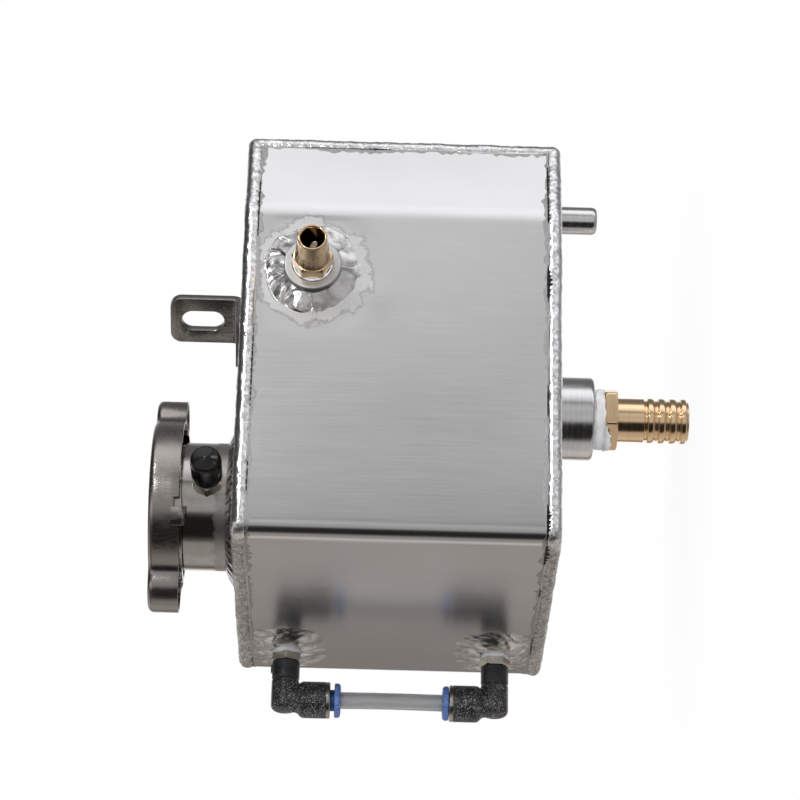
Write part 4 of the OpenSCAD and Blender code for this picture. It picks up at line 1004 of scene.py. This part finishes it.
vent_face = frame_at(VENT, Z, X)
pool("vent_pool", "vent_weld", vent_face, 9.8,
     lambda a: 17.3 + 1.1 * noise(a * 1.6, seed=51) + 0.5 * noise(a * 4, seed=52),
     lambda t: 2.6 * (1 - t) ** 1.2, [(13.4, 6.0, 7.0, 120, 350, 0.75), (12.8, 3.2, 6.4, 70, 150, 0.50),
        (13.6, 2.6, 5.2, -25, 75, 0.90)], 53)


def sight_frame(side):
    return frame_at((SIGHT_X, FRONT_Y, SIGHT_Z[side < 0]), (0, 0, -side), -Y)


def sight_pool(side):
    def outline(a):
        lobe = 4.5 * np.abs(np.sin(a)) + np.sqrt(15.6 ** 2 - (4.5 * np.cos(a)) ** 2)
        lobe = lobe + 3.2 * np.clip(side * np.sin(a), 0, 1) ** 2
        lobe = lobe + 0.9 * noise(a * 1.8, seed=60 + side) - 0.5
        x_cut = np.where(np.cos(a) < -0.05, 12.2 / np.clip(-np.cos(a), 0.05, 1), 99)
        y_cut = np.where(-side * np.sin(a) > 0.05, 19.6 / np.clip(-side * np.sin(a), 0.05, 1), 99)
        return np.minimum(np.minimum(lobe, x_cut), y_cut)

    name = "upper" if side > 0 else "lower"
    pool(f"{name}_pool", f"{name}_sight_weld", sight_frame(side), 5.5, outline,
         lambda t: 1.75 * (1 - t) ** 0.85,
         [(14.5, 3.2, 6.6, 0, 355, 0.45)], 62 + side,
         [(16, side, 6, side, 6, 7.4, 0.55), (-13, -4 * side, -6, -2 * side, 4, 7.0, 0.55),
          (-7, 6 * side, 1, 9 * side, 3, 7.5, 0.70)])


sight_pool(1)
sight_pool(-1)


# ---------------------------------------------------------------- bracket
c60, s60 = math.cos(math.radians(-60)), math.sin(math.radians(-60))
TAB = frame_at((-2, -42, TOP), (c60, s60, 0), Z)


def bracket():
    curve = bpy.data.curves.new("blank", "CURVE")
    curve.dimensions = "2D"
    curve.fill_mode = "BOTH"
    half, long, r = 9.25, 40.5, 4.0
    outline = [(-half, long), (half, long)]
    outline += [(half - r + r * math.cos(a), r - r * math.sin(a)) for a in np.linspace(0, math.pi / 2, 9)]
    outline += [(-half + r - r * math.sin(a), r - r * math.cos(a)) for a in np.linspace(0, math.pi / 2, 9)]
    slot = [(4 * math.cos(a), 8.0 - 4 * math.sin(a)) for a in np.linspace(0, math.pi, 15)]
    slot += [(-4 * math.cos(a), 15.2 + 4 * math.sin(a)) for a in np.linspace(0, math.pi, 15)]
    edge = 0.28
    for loop in (outline, slot):
        spline = curve.splines.new("POLY")
        spline.points.add(len(loop) - 1)
        for p, (x, y) in zip(spline.points, loop):
            p.co = (x, y, 0, 1)
        spline.use_cyclic_u = True
    curve.extrude = 1.5 - edge
    curve.bevel_depth = edge
    curve.bevel_resolution = 2
    curve.offset = -edge
    holder = bpy.data.objects.new("blank", curve)
    bpy.context.collection.objects.link(holder)
    graph = bpy.context.evaluated_depsgraph_get()
    flat = bpy.data.meshes.new_from_object(holder.evaluated_get(graph))
    bpy.data.objects.remove(holder)
    bm = bmesh.new()
    bm.from_mesh(flat)
    bmesh.ops.remove_doubles(bm, verts=bm.verts, dist=0.001)
    for s in list(np.arange(22, 28, 0.5)) + list(np.arange(2, 22, 4)) + [34.0]:
        geom = bm.verts[:] + bm.edges[:] + bm.faces[:]
        bmesh.ops.bisect_plane(bm, geom=geom, plane_co=(0, s, 0), plane_no=(0, 1, 0))
    pts = []
    for v in bm.verts:
        u, s, w = v.co.x, v.co.y, v.co.z + 1.5
        if s <= 22:
            p = (w, u, 27 - s)
        elif s <= 27.5:
            a = (s - 22) / 3.5
            p = (5 - (5 - w) * math.cos(a), u, 5 - (5 - w) * math.sin(a))
        else:
            p = (5 + s - 27.5, u, w)
        pts.append(p)
    bm.verts.index_update()
    faces = [[v.index for v in f.verts] for f in bm.faces]
    bm.free()
    build("bracket_plate", into(TAB, np.array(pts)), faces, "bracket", stands_for="bracket",
          angle=30)


bracket()
for k, side in enumerate((-1, 1)):
    n = 60
    x = np.linspace(4.6, 18.4, n)
    line = into(TAB, np.column_stack([x, np.full(n, side * 9.25), np.zeros(n)]))
    size = np.clip(np.minimum(x - 4.5, 18.5 - x) / 1.5, 0.1, 1) ** 0.5
    fillet(f"bracket_fillet_{k}", "bracket_weld", line, np.tile(side * TAB[2], (n, 1)), np.tile(TAB[3],
            (n, 1)),
           x, 20, 2.0, 2.0, 2.4, 0.3, 71 + k, False, taper=size, ragged=0.3, sink=0.4)


# ---------------------------------------------------------------- filler neck and cap
def angle_near(theta, centre, half, soft):
    """1 within half of the centre angle, falling to 0 over soft."""
    d = np.abs((theta - centre + np.pi) % (2 * np.pi) - np.pi)
    return np.clip((half + soft - d) / soft, 0, 1)


CAP_LOW, CAP_TOP = 131.7, 142.5


def cap_outline(theta, inset):
    """Distance from the cap's axis to its outline, less an inset measured square to it."""
    lo, hi = np.full(theta.shape, 5.0), np.full(theta.shape, 45.0)
    for _ in range(40):
        mid = (lo + hi) / 2
        x, y = mid * np.cos(theta), mid * np.sin(theta)
        round_part = np.hypot(x, y) - 30.2
        bar = np.hypot(x, np.maximum(np.abs(y) - 30.0, 0)) - 10.0
        d = smooth_min(round_part, bar, 3.2) + inset
        hi, lo = np.where(d > 0, mid, hi), np.where(d > 0, lo, mid)
    return (lo + hi) / 2


def cap():
    n = 720
    th = around(n)
    notch = sum(angle_near(th, math.radians(c), math.radians(3.0), math.radians(0.6)) for c in (-20.9, 159.1))
    rim_z = CAP_LOW + 1.8 * notch
    rows = []

    def ring_row(inset, z, follow=0.0):
        r = cap_outline(th, inset)
        rows.append(polar(r, th, np.where(follow, rim_z + z, z)))

    def round_row(r, z):
        rows.append(polar(r, th, z))

    def blend_row(inset, r_end, share, z):
        r = cap_outline(th, inset) * (1 - share) + r_end * share
        rows.append(polar(r, th, z))

    round_row(0.0, 140.7)
    for r, z in ((6, 140.7), (10.5, 140.7), (11.6, 140.8), (12.4, 141.25), (13.0, 141.95), (13.7, 142.35),
                 (14.6, 142.5)):
        round_row(r, z)
    for share in (0.75, 0.5, 0.25, 0.08):
        blend_row(2.2, 14.6, share, 142.5)
    for a in np.linspace(90, 0, 8):
        ring_row(2.2 - 2.2 * math.cos(math.radians(a)), CAP_TOP - 2.2 + 2.2 * math.sin(math.radians(a)))
    for z in (138.6, 136.8, 135.2):
        ring_row(0, z)
    for inset, dz in ((0, 0.30), (0.08, 0.08), (0.30, 0.0), (0.70, 0.0), (0.92, 0.08), (1.0, 0.30)):
        ring_row(inset, dz, 1.0)
    for z in (135.2, 137.5, 140.0):
        ring_row(1.0, z)
    ring_row(1.4, 141.1)
    ring_row(2.2, 141.5)
    blend_row(2.2, 14.2, 0.6, 141.5)
    for r, z in ((14.2, 141.5), (12.8, 141.0), (12.2, 139.9), (11.4, 139.7), (6, 139.7), (0.0, 139.7)):
        round_row(r, z)
    pts = into(frame_at(NECK, X, Z), np.array(rows))
    body = (pts.reshape(-1, 3), grid_faces(len(rows), n, wrap_cols=True), np.zeros(len(rows) * n))
    lugs = [lug(math.radians(a)) for a in (-30, 150)]
    v, f, a = join(body, *lugs)
    build("cap_pressing", v, f, "cap", body="cap", stands_for="cap_shell", angle=48, weld=True)


def lug(angle):
    """A tab of the skirt, bent in under the cam."""
    mid = [(29.75, 134.4), (29.75, 133.0), (29.75, 131.2)]
    mid += [(28.75 + 1.0 * math.cos(a), 131.05 - 1.0 * math.sin(a)) for a in np.linspace(0.1, math.pi / 2, 6)]
    mid += [(27.4, 130.05), (26.0, 130.05)]
    mid = np.array(mid)
    along = np.gradient(mid, axis=0)
    along /= np.linalg.norm(along, axis=1)[:, None]
    side = np.column_stack([along[:, 1], -along[:, 0]])
    w = np.array([-3.2, -3.05, 3.05, 3.2])
    t = 0.42
    section = [(w[0], -t + 0.12), (w[1], -t), (w[2], -t), (w[3], -t + 0.12), (w[3], t - 0.12), (w[2], t),
               (w[1], t),
               (w[0], t - 0.12)]
    rows = []
    for k in range(len(mid)):
        rows.append([(mid[k, 0] + side[k, 0] * b, a, mid[k, 1] + side[k, 1] * b) for a, b in section])
    pts = into(frame_at(NECK, (math.cos(angle), math.sin(angle), 0), Z), np.array(rows)).reshape(-1, 3)
    return pts, rod_faces(len(rows), len(section)), np.zeros(len(pts))


cap()

port = frame_at(NECK + (0, 0, PORT_Z), -Z, X)
lathe("overflow_hex", port, [(1.6, 20.6), (6.2, 20.6), (6.2, 26.9), (5.2, 27.55), (3.0, 27.55), (3.0, 41.9),
                             (1.6, 41.9)],
      "pale_brass", soft=0.12, n=192, flats=10.0, turn=math.radians(30),
      stands_for="overflow_fitting", angle=35)


END = 43.4
lathe("blanking_cap_skin", port,
      [(0, END - 0.05), (0.5, END - 0.12, 0.3), (4.6, END - 1.25, 0.5), (5.3, END - 2.2, 0.5),
       (5.5, END - 4.5, 0.4),
       (5.5, 28.9), (5.2, 27.75), (3.25, 27.75), (3.15, 28.4), (3.08, END - 1.6), (0, END - 1.6)],
      "blank", soft=0.3, n=144, body="blanking_cap", stands_for="overflow_cap", angle=60)


# ---------------------------------------------------------------- vent
vent = frame_at(VENT * (0, 1, 1), -Z, X)
lathe("vent_bung_turned", vent, [(6.6, 34.5), (10, 34.5), (10, 44.6), (9.65, 45), (7.2, 45), (6.6, 44.4)],
      "satin", soft=0.3, n=144, stands_for="vent_bung", step=1.0)
lathe("vent_nipple_turned", vent,
      [(4, 37.5), (6.45, 37.5), (6.45, 46.0), (7.1, 46.0), (7.5, 46.35), (7.5, 50.3), (6.55, 51.0),
       (6.15, 51.05),
       (6.15, 51.4), (5.75, 55.0), (5.05, 63.6), (4.75, 64.0), (4.35, 64.0), (4.0, 63.5)],
      "brass", soft=0.18, n=216, flats=12.7, turn=math.radians(0), stands_for="vent_nipple", angle=32)


def tape_wrap(r, z, theta):
    """Layers and creases of rolled thread tape."""
    wave = 0.10 * noise(np.cos(theta) * 4, np.sin(theta) * 4, z * 1.3, seed=81)
    crease = 0.06 * noise(np.cos(theta) * 11, np.sin(theta) * 11, z * 3, seed=82)
    return r + wave + crease, z + 0.12 * noise(np.cos(theta) * 6, np.sin(theta) * 6, seed=83)


lathe("vent_tape_roll", vent, [(6.5, 44.9), (6.9, 44.9), (7.0, 45.3), (6.9, 46.0), (6.5, 46.0)], "tape",
      soft=0.1,
      n=160, stands_for="vent_tape", wobble=tape_wrap)


def strand():
    """The loose end of the thread tape, twisted inside the vent's bore."""
    t = np.linspace(0, 1, 40)
    x = 50 + 13.2 * t
    y = -44.6 + 1.2 * np.sin(2.6 * t) - 1.4 * t ** 2
    z = 87.5 + 1.1 * np.cos(3.2 * t) * (1 - 0.4 * t) - 0.2
    twist = 0.5 + 1.1 * t
    half, thick = 1.1 * (1 - 0.45 * t ** 3), 0.10
    rows = []
    for k in range(len(t)):
        e = np.array([0, math.cos(twist[k]), math.sin(twist[k])])
        f = np.array([0, -math.sin(twist[k]), math.cos(twist[k])])
        c = np.array([x[k], y[k], z[k]])
        rows.append([c + e * half[k], c + f * thick, c - e * half[k], c - f * thick])
    build("tape_strand", np.array(rows).reshape(-1, 3), rod_faces(len(rows), 4), "tape", angle=60)


strand()


# ---------------------------------------------------------------- outlet and pin
outlet = frame_at(OUTLET, X, Z)
lathe("outlet_bung_turned", outlet,
      [(10.4, -14.1), (13.8, -14.1), (14.64, -13.74), (15, -12.9), (15, 4), (7.3, 4), (7.3, -3.2),
       (10.4, -3.2)],
      "turned", soft=0.35, n=192, stands_for="outlet_bung", step=1.2)

ridges = []
for k in range(4):
    z = -32.5 - 4 * k
    ridges += [(7.2, z, 0.25), (7.2, z - 0.75, 0.25), (8.1, z - 1.25, 0.3), (8.1, z - 2.9, 0.5)]
lathe("outlet_barb_turned", outlet,
      [(6.3, -8.1), (10.2, -8.1), (10.2, -18.1), (11.4, -18.1), (12.3, -18.7), (12.3, -22.0), (11.2, -22.6),
       (7.9, -22.6, 0.4)]
      + [(7.9, -32.3, 0.2)] + ridges + [(7.15, -47.6, 0.5), (7.0, -48.3), (6.6, -48.5), (6.3, -48.2)],
      "brass", soft=0.2, n=216, flats=21.0, turn=math.radians(30), stands_for="outlet_barb", angle=32)


def ragged_tape(r, z, theta):
    """Rolled tape whose edges wander and whose surface is creased."""
    x, y = np.cos(theta), np.sin(theta)
    edge = np.clip((np.abs(z + 16.1) - 1.2) / 1.0, 0, 1)
    r = r + (0.22 * noise(x * 3, y * 3, z * 0.8, seed=91) + 0.12 * noise(x * 9, y * 9, z * 2,
            seed=92)) * (r > 10.6)
    z = z + edge * np.sign(z + 16.1) * (-0.35 + 0.35 * noise(x * 5, y * 5, seed=93))
    return r, z


lathe("outlet_tape_roll", outlet, [(10.2, -18.4), (10.8, -18.4), (11.0, -17.2), (11.05, -16), (10.95, -14.7),
        (10.7, -14.0),
        (10.2, -14.0)],
      "tape", soft=0.1, n=240, stands_for="outlet_tape", wobble=ragged_tape, step=0.5)


def tape_flap():
    """A loose end of tape that lies over the corner of the hexagon."""
    nu, nv = 46, 22
    a = np.radians(np.linspace(-98, -36, nu))[:, None]
    v = np.linspace(0, 1, nv)[None, :]
    tooth = 0.7 * noise(a * 9, seed=95) + 0.35 * noise(a * 24, seed=96)
    reach = np.clip(3.0 + 1.5 * np.sin(3 * (a + 1.6)) + tooth, 0.6, 5.2)
    z = -15.2 - reach * v - 0.5 * v
    lie = 11.3 + 1.15 * np.clip((-z - 17.4) / 1.2, 0, 1) + 0.25 * noise(a * 7, v * 4, seed=97) * v
    lie = lie + 0.3 * v ** 2
    outer = polar(lie, a, z)
    inner = polar(lie - TAPE_THICK, a, z)
    rows = np.concatenate([outer, inner[:, ::-1]], 1)
    build("outlet_tape_flap", into(outlet, rows).reshape(-1, 3), rod_faces(*rows.shape[:2]), "tape", angle=70)


tape_flap()
lathe("pin_turned", frame_at((0, 0, 0), X, Z), [(0, -14), (3.5, -14, 0.2), (4.4, -13.6, 0.6),
        (5, -12.5, 0.6), (5, 4), (0, 4)],
      "turned", soft=0.3, n=96, stands_for="locating_pin", step=1.0)


# ---------------------------------------------------------------- sight fittings
def elbow(side):
    name = "upper" if side > 0 else "lower"
    where = sight_frame(side)
    o, ex, ey, ez = where
    barrel = lathe_mesh(where, rounded([(0, 5.9), (4.75, 5.9), (5.0, 6.2), (5.0, 12.2), (4.65, 12.5),
            (4.65, 12.9), (5.0, 13.2), (5.0, 24.3, 2.4),
            (0, 24.3)], 0.12, 8), 96)
    socket_at = frame_at(o + TUBE_DEPTH * ez, ey, ex)
    socket = lathe_mesh(socket_at, rounded([(0, -1.0), (4.7, -1.0), (4.7, 4.2, 0.8), (6.6, 6.0, 0.9),
            (6.6, 15.0, 0.35), (0, 15.0)],
            0.3, 6), 96)
    parts = [barrel, socket]
    if side > 0:
        ear_at = frame_at(o + 8.6 * ez - 4.4 * ex, ey, ez)
        parts.append(lathe_mesh(ear_at, rounded([(0, -1.6), (1.1, -1.6), (1.1, 1.5), (0, 1.5)], 0.3, 3), 32))
    v, f, a = join(*parts)
    piece = build(f"{name}_elbow_moulding", v, f, "plastic", stands_for=f"{name}_elbow",
                  angle=0, weld=True)
    skin = piece.modifiers.new("skin", "REMESH")
    skin.mode, skin.voxel_size, skin.adaptivity = "VOXEL", 0.24 * MM, 0
    soften = piece.modifiers.new("soften", "SMOOTH")
    soften.factor, soften.iterations = 0.5, 5
    apply_modifiers(piece)
    bore = lathe_mesh(socket_at, [(0, 4.6), (3.2, 4.6), (3.2, 7.0), (4.9, 7.0), (4.9, 16), (0, 16)], 96)
    stem = lathe_mesh(where, [(0, 5.0), (3.6, 5.0), (3.6, 11.9), (0, 11.9)], 64)
    for shape in (bore, stem):
        cut_with(piece, shape)
    piece.data.shade_smooth()
    piece.data.set_sharp_from_angle(angle=math.radians(50))

    lathe(f"{name}_guide_turned", socket_at,
          [(4.0, 11.8), (4.85, 11.8), (4.85, 14.9), (6.5, 14.9), (6.58, 15.1), (6.58, 15.9), (6.3, 16.3),
           (4.3, 16.3), (4.0, 16.0)],
          "guide", soft=0.12, n=144, stands_for=f"{name}_guide_ring", angle=40)
    gap = 1.5 if side > 0 else 0.2
    z = 12 + gap
    face = z + 4.3
    lathe(f"{name}_collar_moulding", socket_at,
          [(3.15, z), (3.85, z), (3.85, face), (5.9, face), (6.2, face + 0.35), (6.2, face + 1.5),
           (5.6, face + 2.2),
           (3.9, face + 2.4), (3.5, face + 2.2), (3.15, face + 1.6)],
          "blue", soft=0.22, n=144, body=f"{name}_collar", stands_for=f"{name}_collar", angle=45)
    lathe(f"{name}_stud_turned", where,
          [(2, -6), (4.75, -6), (4.75, 3.1), (5.3, 3.1), (5.8, 3.35), (5.8, 5.75), (5.2, 6.0), (3.35, 6.0),
           (3.35, 11.9), (2, 11.9)],
          "pale_brass", soft=0.12, n=192, flats=10.0, turn=math.radians(30 if side > 0 else 0),
          stands_for=f"{name}_stud", angle=32)

    def roll(r, z, theta):
        x, y = np.cos(theta), np.sin(theta)
        return r + 0.10 * noise(x * 4, y * 4, z * 2, seed=101 + side) * (r > 4.9), z

    lathe(f"{name}_stud_tape_roll", where, [(4.7, 0.9), (5.2, 0.9), (5.3, 2.0), (5.2, 3.2), (4.7, 3.2)],
          "thin_tape", soft=0.1,
          n=144, stands_for=f"{name}_stud_tape", wobble=roll, step=0.4)


elbow(1)
elbow(-1)


def tube():
    low, high = 23.5, 89.5
    tube_y = FRONT_Y - TUBE_DEPTH
    z = np.linspace(low, high, 60)
    th = around(72)
    bow = 0.25 * np.sin(np.pi * (z - low) / (high - low)) ** 2
    rows = []
    for r, zs in ((TUBE_R, z), (TUBE_BORE, z[::-1])):
        for zz in zs:
            b = np.interp(zz, z, bow)
            rr = r + (0.02 * noise(zz / 4, seed=7) if r == TUBE_R else 0)
            rows.append(np.stack([SIGHT_X + rr * np.cos(th), tube_y + b + rr * np.sin(th), zz + 0 * th], -1))
    pts = np.array(rows).reshape(-1, 3)
    build("sight_tube_clear", pts, grid_faces(len(rows), 72, wrap_rows=True, wrap_cols=True), "tube",
          stands_for="sight_tube", angle=50)


tube()

# ---------------------------------------------------------------- CAD nodes that stay
STAY = {
    "plate": ("top_plate", "bottom_plate"),
    "turned": ("upper_sight_bung", "lower_sight_bung"),
    "neck": ("filler_neck",),
    "rivet": ("cap_rivet",),
    "inner": ("cap_cage", "cap_disc", "pressure_plate", "upper_grab_ring", "lower_grab_ring"),
    "seal": ("lip_gasket", "seat_gasket", "upper_o_ring", "lower_o_ring"),
    "spring": ("main_spring", "vacuum_spring"),
    "pale_brass": ("vacuum_valve",),
}
for key, nodes in STAY.items():
    for name in nodes:
        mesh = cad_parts[name].data
        mesh.materials.clear()
        mesh.materials.append(M[key])
